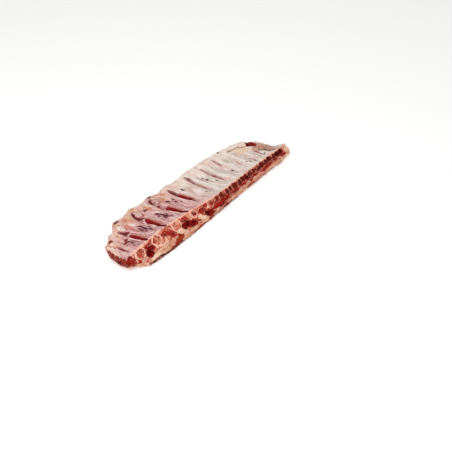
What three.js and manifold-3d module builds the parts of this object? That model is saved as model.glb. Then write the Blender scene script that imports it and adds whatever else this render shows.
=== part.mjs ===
// A frozen rack of pork back ribs, lying bone side up. Millimetres, +Z up.
// +X runs along the sawn chine edge from the loin end to the shoulder end, and +Y from the
// chine to the rib tips. The rack is one solid of meat on a bed of fat, with its bones
// running through it from the sawn face.
import * as THREE from 'three';
import { mergeVertices } from 'three/addons/utils/BufferGeometryUtils.js';
import Module from 'manifold-3d';

const wasm = await Module();
wasm.setup();

// The rack's ends, as places along the chine edge.
const LOIN_END = -211;
const SHOULDER_END = 221;

// Where each rib leaves the chine, how far it bends towards the shoulder end, how far out its
// bone ends, how far the bare tip stands up, and the slit in the membrane on its loin side: its
// place, its depth and the stretch that it runs over.
const RIBS = [
  { at: -178, bend: 0, end: 53, bare: 2.4, slitAt: -187, slit: 2.8, from: 4, to: 46 },
  { at: -139, bend: 0, end: 66, bare: 3.2, slitAt: -151, slit: 5.6, from: 5, to: 60 },
  { at: -92, bend: 0, end: 70, bare: 3.3, slitAt: -104, slit: 6.8, from: 6, to: 66 },
  { at: -50, bend: 5, end: 74, bare: 2.9, slitAt: -54.5, slit: 6.4, from: 8, to: 70 },
  { at: -9, bend: 5, end: 75, bare: 2.4, slitAt: -13.5, slit: 5, from: 8, to: 72 },
  { at: 36, bend: 0, end: 79, bare: 0, slitAt: 27.5, slit: 3.6, from: 10, to: 76 },
  { at: 72, bend: 0, end: 79, bare: 0, slitAt: 62.5, slit: 3.6, from: 10, to: 77 },
  { at: 101, bend: 0, end: 77, bare: 0, slitAt: 93, slit: 1.5, from: 44, to: 76 },
  { at: 129, bend: 0, end: 72, bare: 0, slitAt: 119, slit: 2, from: 10, to: 47 },
  { at: 152, bend: 0, end: 67, bare: 0, slitAt: 142, slit: 1.6, from: 6, to: 32 },
  { at: 176, bend: 0, end: 58, bare: 0, slitAt: 168, slit: 2.6, from: 4, to: 38 },
];
const RIB_BEND_OVER = [0, 14];
const RIB_HALF_WIDTH = 7;
const SLIT_HALF_WIDTH = 4.2;
const SLIT_FLOOR = 1.1;
const SLIT_SOFT_END = 7;
const SLIT_SHALLOWER_OUTWARD = 0.45;
const SLIT_SHALLOWS_FROM_SHARE = 0.6;

// The ribs lean towards the loin end on their way out, most in the loin half.
const LEAN_LEAST = 0.05;
const LEAN_MOST = 0.38;
const LEAN_MOST_AT = -70;
const LEAN_SPREAD = 130;
const LEAN_STARTS = [LOIN_END - 6, RIBS[0].at - 6];

// The trimmed edge at the rib tips and the foot of the chine side, as distance from the
// chine's top edge at places along the rack.
const TIP_EDGE = [
  [-211, 32], [-205, 45], [-192, 55], [-172, 63], [-146, 77.5], [-117, 87], [-80, 88.5],
  [-20, 89.5], [45, 91], [95, 89.5], [146, 82.5], [174, 76], [186, 68], [221, 59],
];
const CHINE_FOOT = [
  [-211, -7], [-201, -13], [-187, -21], [-166, -27], [-105, -29.5], [-40, -24.5],
  [20, -18], [221, -14],
];

// The trimmed edge stands out beside each rib's end, most in the loin half.
const SCALLOP = { height: 6, offset: 8, halfWidth: 19, level: 0.6, grows: [-190, -150], fades: [-20, 90] };

// The chine's top edge waves a little, in plan and in height.
const CHINE_LINE = [
  [-211, -0.5], [-150, 2.8], [-106, 4], [-55, 1.8], [10, -1.6], [70, -0.8], [160, 0.6], [221, 0],
];
const CHINE_TOP = [
  [-211, 27], [-150, 30.2], [-106, 30.5], [-50, 28.6], [10, 26.4], [70, 26.6], [160, 27.3], [221, 26],
];
const CHINE_LINE_REACH = 50;

// Heights of the bone side below its edge: the gutter beside the chine and the rise to the tips.
const GUTTER = { loin: 9.2, shoulder: 6.8, at: 38, roundness: 2.2 };
const TIP_RISE = { height: 5.2, from: 44, to: 84 };

// The shoulder-end vertebra stands out past the trimmed end of the rack.
const END_STEP = { length: 17, from: 186, zone: [2, 14], skew: 0.14 };

// The loin end is cut on a slope and askew: its top drops by this much over this length.
const LOIN_SLOPE = { drop: 12.5, length: 9 };
const LOIN_SKEW = { slope: 0.4, to: -168, out: 9 };
const LOIN_LIFT = { height: 8, to: -176 };
const SHOULDER_LIFT = { height: 6, from: 188 };

// Sections: the rounded tip edge, the lifted underside and the sawn face of the chine.
const LIP_DEPTH = 8;
const UNDERSIDE_RISE = { height: 7, width: 34, atEnd: 0.3 };
const FOOT = { radius: 4.6, mostOfHeight: 0.34 };
const FACE_LOIN = { out: 16.5, downShare: 0.52 };
const FACE_SHOULDER = { out: 10, downShare: 0.33 };
const FACE_CHANGES = [-40, 70];
const FACE_MOST_OF_FOOT = 0.62;
const LOWER_FACE_SWELL = { up: 1.4, back: 0.7 };

// Relief on the bone side.
const RIB_SWELL = { height: 2.1, halfWidth: 8.5, softEnd: 12, shortOfEdge: 6 };
const PILLOW = { height: 1.5, stretch: [8, 62], softEnd: 16, leastHalfWidth: 6 };
const LIP_SWELL = { height: 0.9, beside: 1.5, halfWidth: 5, softEnd: 8 };
const SHOULDER_RELIEF = 0.55;
const TIP_KNOBS = { height: 1.4, inside: 24, outside: 6, softEnd: 8, shoulderShare: 0.4 };
const TIP_KNOB_WAVES = { sine: [0.21, 0.11], cosine: [0.083, -0.19] };
const CHINE_EDGE_ZONE = [-1, 5];

// Dark hollows in the sawn face, between the vertebrae.
const HOLLOWS = [
  { at: -159, reach: 11, down: 0.68, depth: 4.2 },
  { at: -73, reach: 12, down: 0.82, depth: 3.8 },
  { at: -30, reach: 8, down: 0.8, depth: 2 },
];
const HOLLOW_HALF_SHARE = 0.42;
const FACE_SINK = { depth: 0.9, boneHalfWidth: 13, softShare: 0.3 };

// The lean patch and the folded flap of fat at the shoulder end's outer corner.
const PATCH = { x: 184, y: 57, reach: 12, depth: 2.2, lengthShare: 0.8 };
const FLAP = { fromX: 134, fromY: 74, toX: 174, toY: 57, height: 1.3, edge: [-1.5, 2.5], past: [12, 8] };

// Bones: half sizes at the sawn face and along the rib, and the membrane over them.
const BONE_SIDES = 9;
const BONE_GAP = 0.32;
const BONE_FACE_LOIN = { wide: 8, high: 5.8 };
const BONE_FACE_SHOULDER = { wide: 5.4, high: 4 };
const BONE_SHAFT_LOIN = { wide: 6.2, high: 4.4 };
const BONE_SHAFT_SHOULDER = { wide: 4.6, high: 3.5 };
const BONE_NARROWS_OVER = 16;
const MEMBRANE = 1.5;
const BONE_STATIONS = [-22, -2, 6, 15, 28, 42, 55];
const BARE_LENGTH = 13;
const BONE_TIP = { length: 3.2, share: 0.62, clear: 8 };

// The seam between the meat and the fat below it: its height at the chine, under the ribs and
// at the tips, the stretches over which it changes, and its rise at both ends.
const SEAM = {
  chineLoin: 13.2,
  chineShoulder: 17,
  underRibs: 6.2,
  atTips: 10.5,
  chineZone: [-18, 26],
  tipZone: [58, 86],
  loinRise: 6,
  loinZone: [LOIN_END - 2, -180],
  shoulderRise: 3,
  shoulderZone: [190, SHOULDER_END],
  wave: 0.7,
  wavePerX: 0.06,
  wavePerY: 0.05,
};
const LAYER_GAP = 0.3;
const BLOCK_HALF_LENGTH = 240;
const BLOCK_STEPS = 18;
const BLOCK_ROWS = [-50, -24, -10, 6, 26, 58, 76, 110];
const BLOCK_BOTTOM = -20;
const INNER_BLOCK = { depth: 108, height: 80, middle: [0, 66, 20] };

// How many points a section has along each stretch of its outline.
const TOP_STEPS = 13;
const TOP_CROWDING = 0.5;
const LIP_STEPS = 5;
const FOOT_STEPS = 3;
const UNDER_SHARES = [0.86, 0.7, 0.45, 0.2, 0];
const LOWER_FACE_SHARES = [0.4, 0.75];
const FACE_SHARES = [1, 0.82, 0.62, 0.42, 0.22, 0.07];
const LOIN_PLACES = [0, 2.5, 5.5, 9, 14];
const SHOULDER_PLACES = [29, 21, 13, 6, 0];
const PILLOW_SHARES = [0.42, 0.8];
const PILLOW_LEAST_ROOM = 12;
const LOIN_CAP_BULGE = 1.2;
const SHOULDER_CAP_BULGE = 0.8;

const clamp = (value) => Math.min(Math.max(value, 0), 1);
const mix = (a, b, share) => a + (b - a) * share;
const wave = (offset, width) => (1 + Math.cos(Math.PI * offset / width)) / 2;
const bump = (offset, width) => (Math.abs(offset) < width ? wave(offset, width) : 0);

function step(low, high, value) {
  const share = clamp((value - low) / (high - low));
  return share * share * (3 - 2 * share);
}

// How far a place is inside a stretch, from 0 outside to 1 inside, with soft ends.
function within(low, high, soft, value) {
  return step(low, low + soft, value) * (1 - step(high - soft, high, value));
}

// A smooth curve through [place, value] pairs.
function through(pairs, place) {
  const last = pairs.length - 1;
  let k = 0;
  while (k < last - 1 && place > pairs[k + 1][0]) {
    k += 1;
  }
  const slope = (i) => {
    const before = pairs[Math.max(i - 1, 0)];
    const after = pairs[Math.min(i + 1, last)];
    return (after[1] - before[1]) / (after[0] - before[0]);
  };
  const width = pairs[k + 1][0] - pairs[k][0];
  const t = clamp((place - pairs[k][0]) / width);
  const start = (1 + 2 * t) * (1 - t) * (1 - t) * pairs[k][1] + t * (1 - t) * (1 - t) * width * slope(k);
  const end = t * t * (3 - 2 * t) * pairs[k + 1][1] + t * t * (t - 1) * width * slope(k + 1);
  return start + end;
}

// Places: along is measured on the chine edge, and out across the rack from it.
const shoulderShare = (along) => step(...FACE_CHANGES, along);
const endShare = (along) => step(END_STEP.from, SHOULDER_END, along);

function lean(along) {
  const spread = Math.exp(-(((along - LEAN_MOST_AT) / LEAN_SPREAD) ** 2));
  return mix(LEAN_LEAST, LEAN_MOST, spread) * step(...LEAN_STARTS, along);
}

function placeX(along, out) {
  const ahead = Math.max(out, 0);
  const stepped = endShare(along) * (END_STEP.length * step(...END_STEP.zone, out) + END_STEP.skew * ahead);
  const nearLoinEnd = 1 - step(LOIN_END, LOIN_SKEW.to, along);
  const skewed = LOIN_SKEW.slope * nearLoinEnd * Math.max(LOIN_SKEW.out - out, 0);
  return along - lean(along) * (1 - endShare(along)) * ahead - stepped + skewed;
}

// The waves of the chine's edge fade out across the rack.
function placeY(along, out) {
  return out + through(CHINE_LINE, along) * (1 - step(0, CHINE_LINE_REACH, out));
}

// A rib's place along the chine edge, at a distance out from it.
const ribAt = (rib, out) => rib.at + rib.bend * step(...RIB_BEND_OVER, out);

function tipEdge(along) {
  const strength = SCALLOP.height * step(...SCALLOP.grows, along) * (1 - step(...SCALLOP.fades, along));
  const nearRib = Math.max(...RIBS.map((rib) => bump(along - rib.at - SCALLOP.offset, SCALLOP.halfWidth)));
  return through(TIP_EDGE, along) + strength * (nearRib - SCALLOP.level);
}

// How much of the full height stands at a place: none at the foot of the loin end's slope.
const fullness = (along) => clamp((along - LOIN_END) / LOIN_SLOPE.length);
const chineTop = (along) => through(CHINE_TOP, along) - LOIN_SLOPE.drop * (1 - fullness(along));

function lift(along) {
  const atLoin = LOIN_LIFT.height * (1 - step(LOIN_END, LOIN_LIFT.to, along));
  return atLoin + SHOULDER_LIFT.height * step(SHOULDER_LIFT.from, SHOULDER_END, along);
}

function slitRelief(along, out) {
  let sunk = 0;
  for (const rib of RIBS) {
    const across = bump(along - rib.slitAt, SLIT_HALF_WIDTH);
    const outward = step(mix(rib.from, rib.to, SLIT_SHALLOWS_FROM_SHARE), rib.to, out);
    const depth = rib.slit * (1 - SLIT_SHALLOWER_OUTWARD * outward);
    sunk = Math.max(sunk, depth * across * within(rib.from, rib.to, SLIT_SOFT_END, out));
  }
  return -sunk;
}

// The pillow of meat before each rib, from the rib before it to the slit.
function pillowRelief(along, out, rib, previousSide) {
  const middle = (previousSide + rib.slitAt - SLIT_HALF_WIDTH) / 2;
  const half = Math.max((rib.slitAt - previousSide) / 2, PILLOW.leastHalfWidth);
  const pillow = PILLOW.height * bump(along - middle, half) * within(...PILLOW.stretch, PILLOW.softEnd, out);
  const lipPlace = rib.slitAt - SLIT_HALF_WIDTH - LIP_SWELL.beside;
  const lip = LIP_SWELL.height * bump(along - lipPlace, LIP_SWELL.halfWidth);
  return pillow + lip * within(rib.from, rib.to, LIP_SWELL.softEnd, out);
}

function ribRelief(along, out) {
  let height = 0;
  RIBS.forEach((rib, index) => {
    const ribStretch = within(1, tipEdge(along) - RIB_SWELL.shortOfEdge, RIB_SWELL.softEnd, out);
    const swell = RIB_SWELL.height * bump(along - ribAt(rib, out), RIB_SWELL.halfWidth) * ribStretch;
    const previousSide = index > 0 ? ribAt(RIBS[index - 1], out) + RIB_HALF_WIDTH : LOIN_END;
    height = Math.max(height, swell, pillowRelief(along, out, rib, previousSide));
  });
  return height * mix(1, SHOULDER_RELIEF, shoulderShare(along));
}

function tipRelief(along, out) {
  const edge = tipEdge(along);
  const zone = within(edge - TIP_KNOBS.inside, edge + TIP_KNOBS.outside, TIP_KNOBS.softEnd, out);
  const strength = TIP_KNOBS.height * mix(1, TIP_KNOBS.shoulderShare, shoulderShare(along));
  const phase = ([perAlong, perOut]) => along * perAlong + out * perOut;
  return strength * zone * Math.sin(phase(TIP_KNOB_WAVES.sine)) * Math.cos(phase(TIP_KNOB_WAVES.cosine));
}

function cornerRelief(along, out) {
  const x = placeX(along, out);
  const fromPatch = Math.hypot((x - PATCH.x) * PATCH.lengthShare, out - PATCH.y);
  const flapShare = clamp((x - FLAP.fromX) / (FLAP.toX - FLAP.fromX));
  const pastFold = out - mix(FLAP.fromY, FLAP.toY, flapShare);
  const flapStretch = within(FLAP.fromX - FLAP.past[0], FLAP.toX + FLAP.past[1], FLAP.past[0], x);
  const flap = FLAP.height * step(...FLAP.edge, pastFold) * flapStretch;
  return flap - PATCH.depth * bump(fromPatch, PATCH.reach);
}

// The height of the bone side.
function boneSide(along, out) {
  const gutter = mix(GUTTER.loin, GUTTER.shoulder, shoulderShare(along));
  const fall = gutter * (1 - (1 - clamp(out / GUTTER.at)) ** GUTTER.roundness);
  const rise = TIP_RISE.height * step(TIP_RISE.from, TIP_RISE.to, out);
  const ribs = slitRelief(along, out) + ribRelief(along, out);
  const relief = ribs + tipRelief(along, out) + cornerRelief(along, out);
  return chineTop(along) + (rise - fall + relief * step(...CHINE_EDGE_ZONE, out)) * fullness(along);
}

// The sawn face slopes out and down from the chine's top edge to a shoulder above its foot.
function faceRun(along) {
  const share = shoulderShare(along);
  const most = -FACE_MOST_OF_FOOT * through(CHINE_FOOT, along);
  const out = Math.min(mix(FACE_LOIN.out, FACE_SHOULDER.out, share), most);
  const downShare = mix(FACE_LOIN.downShare, FACE_SHOULDER.downShare, share);
  return { out, down: downShare * (chineTop(along) - lift(along)) };
}

function faceRelief(along, share) {
  const bone = Math.max(...RIBS.map((rib) => bump(along - rib.at, FACE_SINK.boneHalfWidth)));
  let sunk = FACE_SINK.depth * (1 - bone) * within(0, 1, FACE_SINK.softShare, share);
  for (const hollow of HOLLOWS) {
    const near = bump(along - hollow.at, hollow.reach) * bump(share - hollow.down, HOLLOW_HALF_SHARE);
    sunk = Math.max(sunk, hollow.depth * near);
  }
  return -sunk;
}

function facePoint(along, share) {
  const run = faceRun(along);
  const length = Math.hypot(run.out, run.down);
  const relief = faceRelief(along, share) * fullness(along);
  const out = -run.out * share - relief * run.down / length;
  return [out, chineTop(along) - run.down * share + relief * run.out / length];
}

// The top of a section, with its points closer together at both ends.
function topPoints(along, lipStart) {
  return Array.from({ length: TOP_STEPS + 1 }, (_, k) => {
    const even = k / TOP_STEPS;
    const out = lipStart * mix(even, (1 - Math.cos(Math.PI * even)) / 2, TOP_CROWDING);
    return [out, boneSide(along, out)];
  });
}

// Points on a quarter or half turn of an ellipse, without its first point.
function turnPoints(centre, radii, fromAngle, toAngle, steps) {
  return Array.from({ length: steps }, (_, k) => {
    const angle = mix(fromAngle, toAngle, (k + 1) / steps);
    return [centre[0] + radii[0] * Math.cos(angle), centre[1] + radii[1] * Math.sin(angle)];
  });
}

// The rack's section at one place along the chine, as a closed loop of [out, height].
function section(along) {
  const edge = tipEdge(along);
  const foot = through(CHINE_FOOT, along);
  const low = lift(along);
  const lipStart = edge - LIP_DEPTH;
  const footRadius = Math.min(FOOT.radius, FOOT.mostOfHeight * (chineTop(along) - low));
  const footInner = foot + footRadius;
  const underRise = UNDERSIDE_RISE.height * mix(UNDERSIDE_RISE.atEnd, 1, fullness(along));
  const under = (out) => low + underRise * step(edge - UNDERSIDE_RISE.width, lipStart, out);
  const lipTop = boneSide(along, lipStart);
  const lipMiddle = [lipStart, (lipTop + under(lipStart)) / 2];
  const lipRadii = [LIP_DEPTH, (lipTop - under(lipStart)) / 2];
  const footMiddle = [footInner, low + footRadius];
  const faceFoot = facePoint(along, 1);
  return [
    ...topPoints(along, lipStart),
    ...turnPoints(lipMiddle, lipRadii, Math.PI / 2, -Math.PI / 2, LIP_STEPS),
    ...UNDER_SHARES.map((share) => mix(footInner, lipStart, share)).map((out) => [out, under(out)]),
    ...turnPoints(footMiddle, [footRadius, footRadius], Math.PI * 1.5, Math.PI, FOOT_STEPS),
    ...LOWER_FACE_SHARES.map((share) => {
      const swell = Math.sin(Math.PI * share);
      const out = mix(foot, faceFoot[0], share) - LOWER_FACE_SWELL.back * swell;
      return [out, mix(footMiddle[1], faceFoot[1], share) + LOWER_FACE_SWELL.up * swell];
    }),
    ...FACE_SHARES.map((share) => facePoint(along, share)),
  ];
}

// Places of the sections: they crowd at the slits and the ribs, and at both ends.
function sectionPlaces() {
  const places = LOIN_PLACES.map((offset) => LOIN_END + offset);
  const slitPlaces = [-SLIT_HALF_WIDTH, -SLIT_FLOOR, SLIT_FLOOR, SLIT_HALF_WIDTH];
  RIBS.forEach((rib, index) => {
    const crest = rib.at + rib.bend;
    const ribSide = crest + RIB_HALF_WIDTH;
    places.push(...slitPlaces.map((offset) => rib.slitAt + offset), crest, ribSide);
    const next = index + 1 < RIBS.length ? RIBS[index + 1].slitAt - SLIT_HALF_WIDTH : ribSide;
    if (next - ribSide > PILLOW_LEAST_ROOM) {
      places.push(...PILLOW_SHARES.map((share) => mix(ribSide, next, share)));
    }
  });
  places.push(...SHOULDER_PLACES.map((offset) => SHOULDER_END - offset));
  return places;
}

// Closed solids as {positions, triangles}, from loops of points joined in order.
function loftLoops(loops, capCentres) {
  const count = loops[0].length;
  const positions = loops.flat();
  const triangles = [];
  for (let i = 0; i + 1 < loops.length; i += 1) {
    for (let j = 0; j < count; j += 1) {
      const a = i * count + j;
      const b = i * count + (j + 1) % count;
      triangles.push([a, b, b + count], [a, b + count, a + count]);
    }
  }
  const lastLoop = (loops.length - 1) * count;
  positions.push(capCentres[0], capCentres[1]);
  for (let j = 0; j < count; j += 1) {
    const next = (j + 1) % count;
    triangles.push([positions.length - 2, next, j]);
    triangles.push([positions.length - 1, lastLoop + j, lastLoop + next]);
  }
  return { positions, triangles };
}

function signedVolume({ positions, triangles }) {
  const a = new THREE.Vector3();
  const b = new THREE.Vector3();
  const c = new THREE.Vector3();
  return triangles.reduce((sum, [i, j, k]) => {
    a.set(...positions[i]);
    b.set(...positions[j]);
    c.set(...positions[k]);
    return sum + a.dot(b.cross(c)) / 6;
  }, 0);
}

function solidOf(shape) {
  const insideOut = signedVolume(shape) < 0;
  const triangles = insideOut ? shape.triangles.map(([i, j, k]) => [i, k, j]) : shape.triangles;
  const mesh = new wasm.Mesh({
    numProp: 3,
    vertProperties: new Float32Array(shape.positions.flat()),
    triVerts: new Uint32Array(triangles.flat()),
  });
  return new wasm.Manifold(mesh);
}

function mean(points) {
  return points[0].map((_, axis) => points.reduce((sum, point) => sum + point[axis], 0) / points.length);
}

function wholeRack() {
  const placed = (along) => ([out, height]) => [placeX(along, out), placeY(along, out), height];
  const loops = sectionPlaces().map((along) => section(along).map(placed(along)));
  const loinCap = mean(loops[0]);
  const shoulderCap = mean(loops[loops.length - 1]);
  loinCap[0] -= LOIN_CAP_BULGE;
  shoulderCap[0] += SHOULDER_CAP_BULGE;
  return solidOf(loftLoops(loops, [loinCap, shoulderCap]));
}

function seamHeight(x, y) {
  const atChine = mix(SEAM.chineLoin, SEAM.chineShoulder, shoulderShare(x));
  const inward = mix(atChine, SEAM.underRibs, step(...SEAM.chineZone, y));
  const outward = mix(inward, SEAM.atTips, step(...SEAM.tipZone, y));
  const loinRise = SEAM.loinRise * (1 - step(...SEAM.loinZone, x));
  const shoulderRise = SEAM.shoulderRise * step(...SEAM.shoulderZone, x);
  const waved = SEAM.wave * Math.sin(x * SEAM.wavePerX + y * SEAM.wavePerY);
  return outward + loinRise + shoulderRise + waved;
}

// The block of space below the seam, with its top raised by a given amount.
function fatBlock(raise) {
  const outer = BLOCK_ROWS[BLOCK_ROWS.length - 1];
  const loopAt = (x) => [
    ...BLOCK_ROWS.map((y) => [x, y, seamHeight(x, y) + raise]),
    [x, outer, BLOCK_BOTTOM],
    [x, BLOCK_ROWS[0], BLOCK_BOTTOM],
  ];
  const ends = [-BLOCK_HALF_LENGTH, BLOCK_HALF_LENGTH];
  const loops = Array.from({ length: BLOCK_STEPS + 1 }, (_, i) => loopAt(mix(...ends, i / BLOCK_STEPS)));
  return solidOf(loftLoops(loops, ends.map((x) => [x, outer / 4, BLOCK_BOTTOM / 2])));
}

function boneHalfSizes(rib, out) {
  const share = shoulderShare(rib.at);
  const shaftShare = step(0, BONE_NARROWS_OVER, out);
  const sizeOf = (key) => {
    const face = mix(BONE_FACE_LOIN[key], BONE_FACE_SHOULDER[key], share);
    return mix(face, mix(BONE_SHAFT_LOIN[key], BONE_SHAFT_SHOULDER[key], share), shaftShare);
  };
  return { wide: sizeOf('wide'), high: sizeOf('high') };
}

// A bone follows its rib under the membrane. Grow widens it, for the channel that holds it.
function boneSolid(rib, grow) {
  const shaftStations = BONE_STATIONS.filter((out) => out < rib.end - BONE_TIP.clear);
  const stations = [...shaftStations, rib.end - BONE_TIP.length, rib.end];
  const loops = stations.map((out, k) => {
    const last = k === stations.length - 1;
    const half = boneHalfSizes(rib, out);
    const wide = half.wide * (last ? BONE_TIP.share : 1) + grow;
    const high = half.high * (last ? BONE_TIP.share : 1) + grow;
    const bareRise = rib.bare * step(rib.end - BARE_LENGTH, rib.end - BONE_TIP.length, out);
    const along = ribAt(rib, out);
    const middle = boneSide(along, Math.max(out, 0)) - MEMBRANE - half.high + bareRise;
    const firstGrow = k === 0 ? -grow : 0;
    const y = placeY(along, out) + (last ? grow : firstGrow);
    return Array.from({ length: BONE_SIDES }, (_, j) => {
      const angle = (j + 0.5) / BONE_SIDES * 2 * Math.PI;
      return [placeX(along, out) + wide * Math.cos(angle), y, middle + high * Math.sin(angle)];
    });
  });
  return solidOf(loftLoops(loops, [mean(loops[0]), mean(loops[loops.length - 1])]));
}

// A block that keeps all of a bone inwards of the sawn face, for the bare tips stand proud.
function innerBlock() {
  const block = new THREE.BoxGeometry(2 * BLOCK_HALF_LENGTH, INNER_BLOCK.depth, INNER_BLOCK.height);
  block.translate(...INNER_BLOCK.middle);
  block.deleteAttribute('normal');
  block.deleteAttribute('uv');
  const merged = mergeVertices(block);
  const mesh = new wasm.Mesh({
    numProp: 3,
    vertProperties: merged.attributes.position.array,
    triVerts: new Uint32Array(merged.index.array),
  });
  return new wasm.Manifold(mesh);
}

function meshOf(solid, name, material, shift) {
  const result = solid.getMesh();
  const geometry = new THREE.BufferGeometry();
  geometry.setAttribute('position', new THREE.BufferAttribute(result.vertProperties, 3));
  geometry.setIndex(new THREE.BufferAttribute(result.triVerts, 1));
  geometry.translate(...shift);
  const mesh = new THREE.Mesh(mergeVertices(geometry, 1e-4), material);
  mesh.name = name;
  return mesh;
}

const materials = {
  meat: new THREE.MeshStandardMaterial({ color: 0xd6b5ac, roughness: 0.55, metalness: 0 }),
  fat: new THREE.MeshStandardMaterial({ color: 0xe2cdbd, roughness: 0.6, metalness: 0 }),
  bone: new THREE.MeshStandardMaterial({ color: 0xd9ab9c, roughness: 0.65, metalness: 0 }),
};

// The origin is at the middle of the box that the rack fits in, at its foot.
function buildRack() {
  const whole = wholeRack();
  const kept = whole.add(innerBlock());
  let meat = whole.subtract(fatBlock(LAYER_GAP / 2));
  let fat = whole.intersect(fatBlock(-LAYER_GAP / 2));
  const bones = RIBS.map((rib) => {
    const channel = boneSolid(rib, BONE_GAP);
    meat = meat.subtract(channel);
    fat = fat.subtract(channel);
    return boneSolid(rib, 0).intersect(kept);
  });
  const { min, max } = whole.boundingBox();
  const shift = [-(min[0] + max[0]) / 2, -(min[1] + max[1]) / 2, -min[2]];
  const group = new THREE.Group();
  group.add(meshOf(meat, 'meat', materials.meat, shift));
  group.add(meshOf(fat, 'fat_cap', materials.fat, shift));
  bones.forEach((bone, index) => {
    const number = String(index + 1).padStart(2, '0');
    group.add(meshOf(bone, `rib_${number}`, materials.bone, shift));
  });
  return group;
}

export default buildRack();
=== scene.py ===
"""Looks of a frozen rack of pork back ribs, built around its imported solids."""
import math
from functools import cached_property
from typing import NamedTuple

import bpy
import numpy as np
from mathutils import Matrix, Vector, noise


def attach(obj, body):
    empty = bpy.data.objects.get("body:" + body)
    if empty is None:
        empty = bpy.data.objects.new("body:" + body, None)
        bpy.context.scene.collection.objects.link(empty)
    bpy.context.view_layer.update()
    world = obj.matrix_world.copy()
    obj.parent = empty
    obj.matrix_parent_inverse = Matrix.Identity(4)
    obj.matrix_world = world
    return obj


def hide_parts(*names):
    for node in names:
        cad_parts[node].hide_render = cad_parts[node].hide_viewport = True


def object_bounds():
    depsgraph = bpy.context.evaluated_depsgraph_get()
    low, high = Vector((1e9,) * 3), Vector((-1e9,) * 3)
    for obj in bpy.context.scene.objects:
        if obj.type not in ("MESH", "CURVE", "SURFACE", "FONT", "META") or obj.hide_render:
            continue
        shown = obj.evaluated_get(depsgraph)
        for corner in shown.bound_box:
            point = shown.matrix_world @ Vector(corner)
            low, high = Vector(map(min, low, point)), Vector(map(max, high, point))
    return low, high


bl_info = {
    "name": "Frozen pork rib rack",
    "version": (1, 0, 0),
    "blender": (4, 5, 0),
    "location": "View3D > Sidebar > Rib rack",
    "description": "Builds the meat, fat and bones of a frozen rack of pork back ribs",
    "category": "Object",
}

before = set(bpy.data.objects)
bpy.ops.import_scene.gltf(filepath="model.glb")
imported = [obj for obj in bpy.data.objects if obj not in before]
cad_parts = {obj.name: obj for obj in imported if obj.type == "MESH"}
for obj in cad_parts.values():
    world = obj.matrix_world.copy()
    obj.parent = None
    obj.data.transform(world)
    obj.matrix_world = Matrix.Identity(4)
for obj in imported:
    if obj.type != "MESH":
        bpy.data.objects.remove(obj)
CAD_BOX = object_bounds()

MM = 0.001

# Plan places are millimetres from the middle of the chine's top edge, which lies here in the frame.
PLAN_ORIGIN = (-4.79, -32.88)
LOIN_END = -211
SHOULDER_END = 221


class Rib(NamedTuple):
    """A rib and the slit before it, as places along the chine edge and stretches out from it."""
    at: float
    bend: float
    end: float
    slit_at: float
    slit: tuple
    cut: float
    openings: tuple = ()


class Opening(NamedTuple):
    """A gaping stretch of a slit: how far beside the slit it lies, its lean, half width and redness."""
    start: float
    stop: float
    beside: float
    lean: float
    gape: float
    red: float


class Wave(NamedTuple):
    """A layer of smooth lumps: their size and height in millimetres, stretch along the ribs, and seed."""
    size: float
    height: float
    stretch: float = 1.0
    seed: float = 0.0


RIBS = (
    Rib(-178, 0, 53, -187, (4, 46), 1.0, (Opening(1, 36, 0.8, 0.1, 1.5, 0.5),)),
    Rib(-139, 0, 66, -151, (5, 60), 2.6, (Opening(-5, 41, 0.6, 0.15, 4.3, 1.0),)),
    Rib(-92, 0, 70, -104, (6, 66), 3.2, (Opening(-6, 50, 1.2, 0.26, 4.7, 1.0),)),
    Rib(-50, 5, 74, -54.5, (8, 70), 2.8,
        (Opening(-6, 47, 0.6, 0.18, 4.4, 1.0), Opening(40, 72, 2.0, 0, 2.0, 0.45))),
    Rib(-9, 5, 75, -13.5, (8, 72), 2.2,
        (Opening(44, 76, 1.9, 0.03, 3.0, 0.55), Opening(19, 62, 1.4, 0.03, 3.3, 1.0))),
    Rib(36, 0, 79, 27.5, (10, 76), 1.3,
        (Opening(54, 78, 2.3, 0.03, 3.0, 0.4), Opening(8, 70, 1.6, 0.03, 1.5, 0.4))),
    Rib(72, 0, 79, 62.5, (10, 77), 1.2,
        (Opening(8, 56, 1.2, 0.05, 1.7, 0.5), Opening(42, 78, 1.0, 0, 1.5, 0.42))),
    Rib(101, 0, 77, 93, (44, 76), 0.9, (Opening(50, 77, 1.2, 0, 2.2, 0.38),)),
    Rib(129, 0, 72, 119, (10, 47), 0.8, (Opening(10, 48, 0.8, 0.15, 1.1, 0.38),)),
    Rib(152, 0, 67, 142, (6, 32), 0.8, (Opening(3, 30, 0.8, 0, 1.2, 0.4),)),
    Rib(176, 0, 58, 168, (4, 38), 1.2, (Opening(0, 38, 0.8, 0.1, 2.3, 0.5),)),
)
RIB_BEND_OVER = (0, 14)
# An opening is widest past its middle and tapers towards the chine.
OPENING_SKEW = 0.15

# The ribs lean towards the loin end on their way out, most in the loin half.
LEAN_LEAST, LEAN_MOST, LEAN_MOST_AT, LEAN_SPREAD = 0.05, 0.38, -70, 130
LEAN_ROUNDS = 14
END_STEP, END_STEP_FROM, END_SKEW = 17, 186, 0.14
CHINE_LINE = (
    (-211, -0.5), (-150, 2.8), (-106, 4), (-55, 1.8), (10, -1.6), (70, -0.8), (160, 0.6), (221, 0),
)
CHINE_LINE_REACH = 50
TIP_EDGE = (
    (-211, 32), (-192, 55), (-172, 63), (-146, 77.5), (-117, 87), (-20, 89.5), (95, 89.5), (146, 82.5),
    (186, 68), (221, 59),
)
CHINE_TOP = ((-211, 27), (-150, 30.2), (-106, 30.5), (-50, 28.6), (10, 26.4), (160, 27.3), (221, 26))

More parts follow.
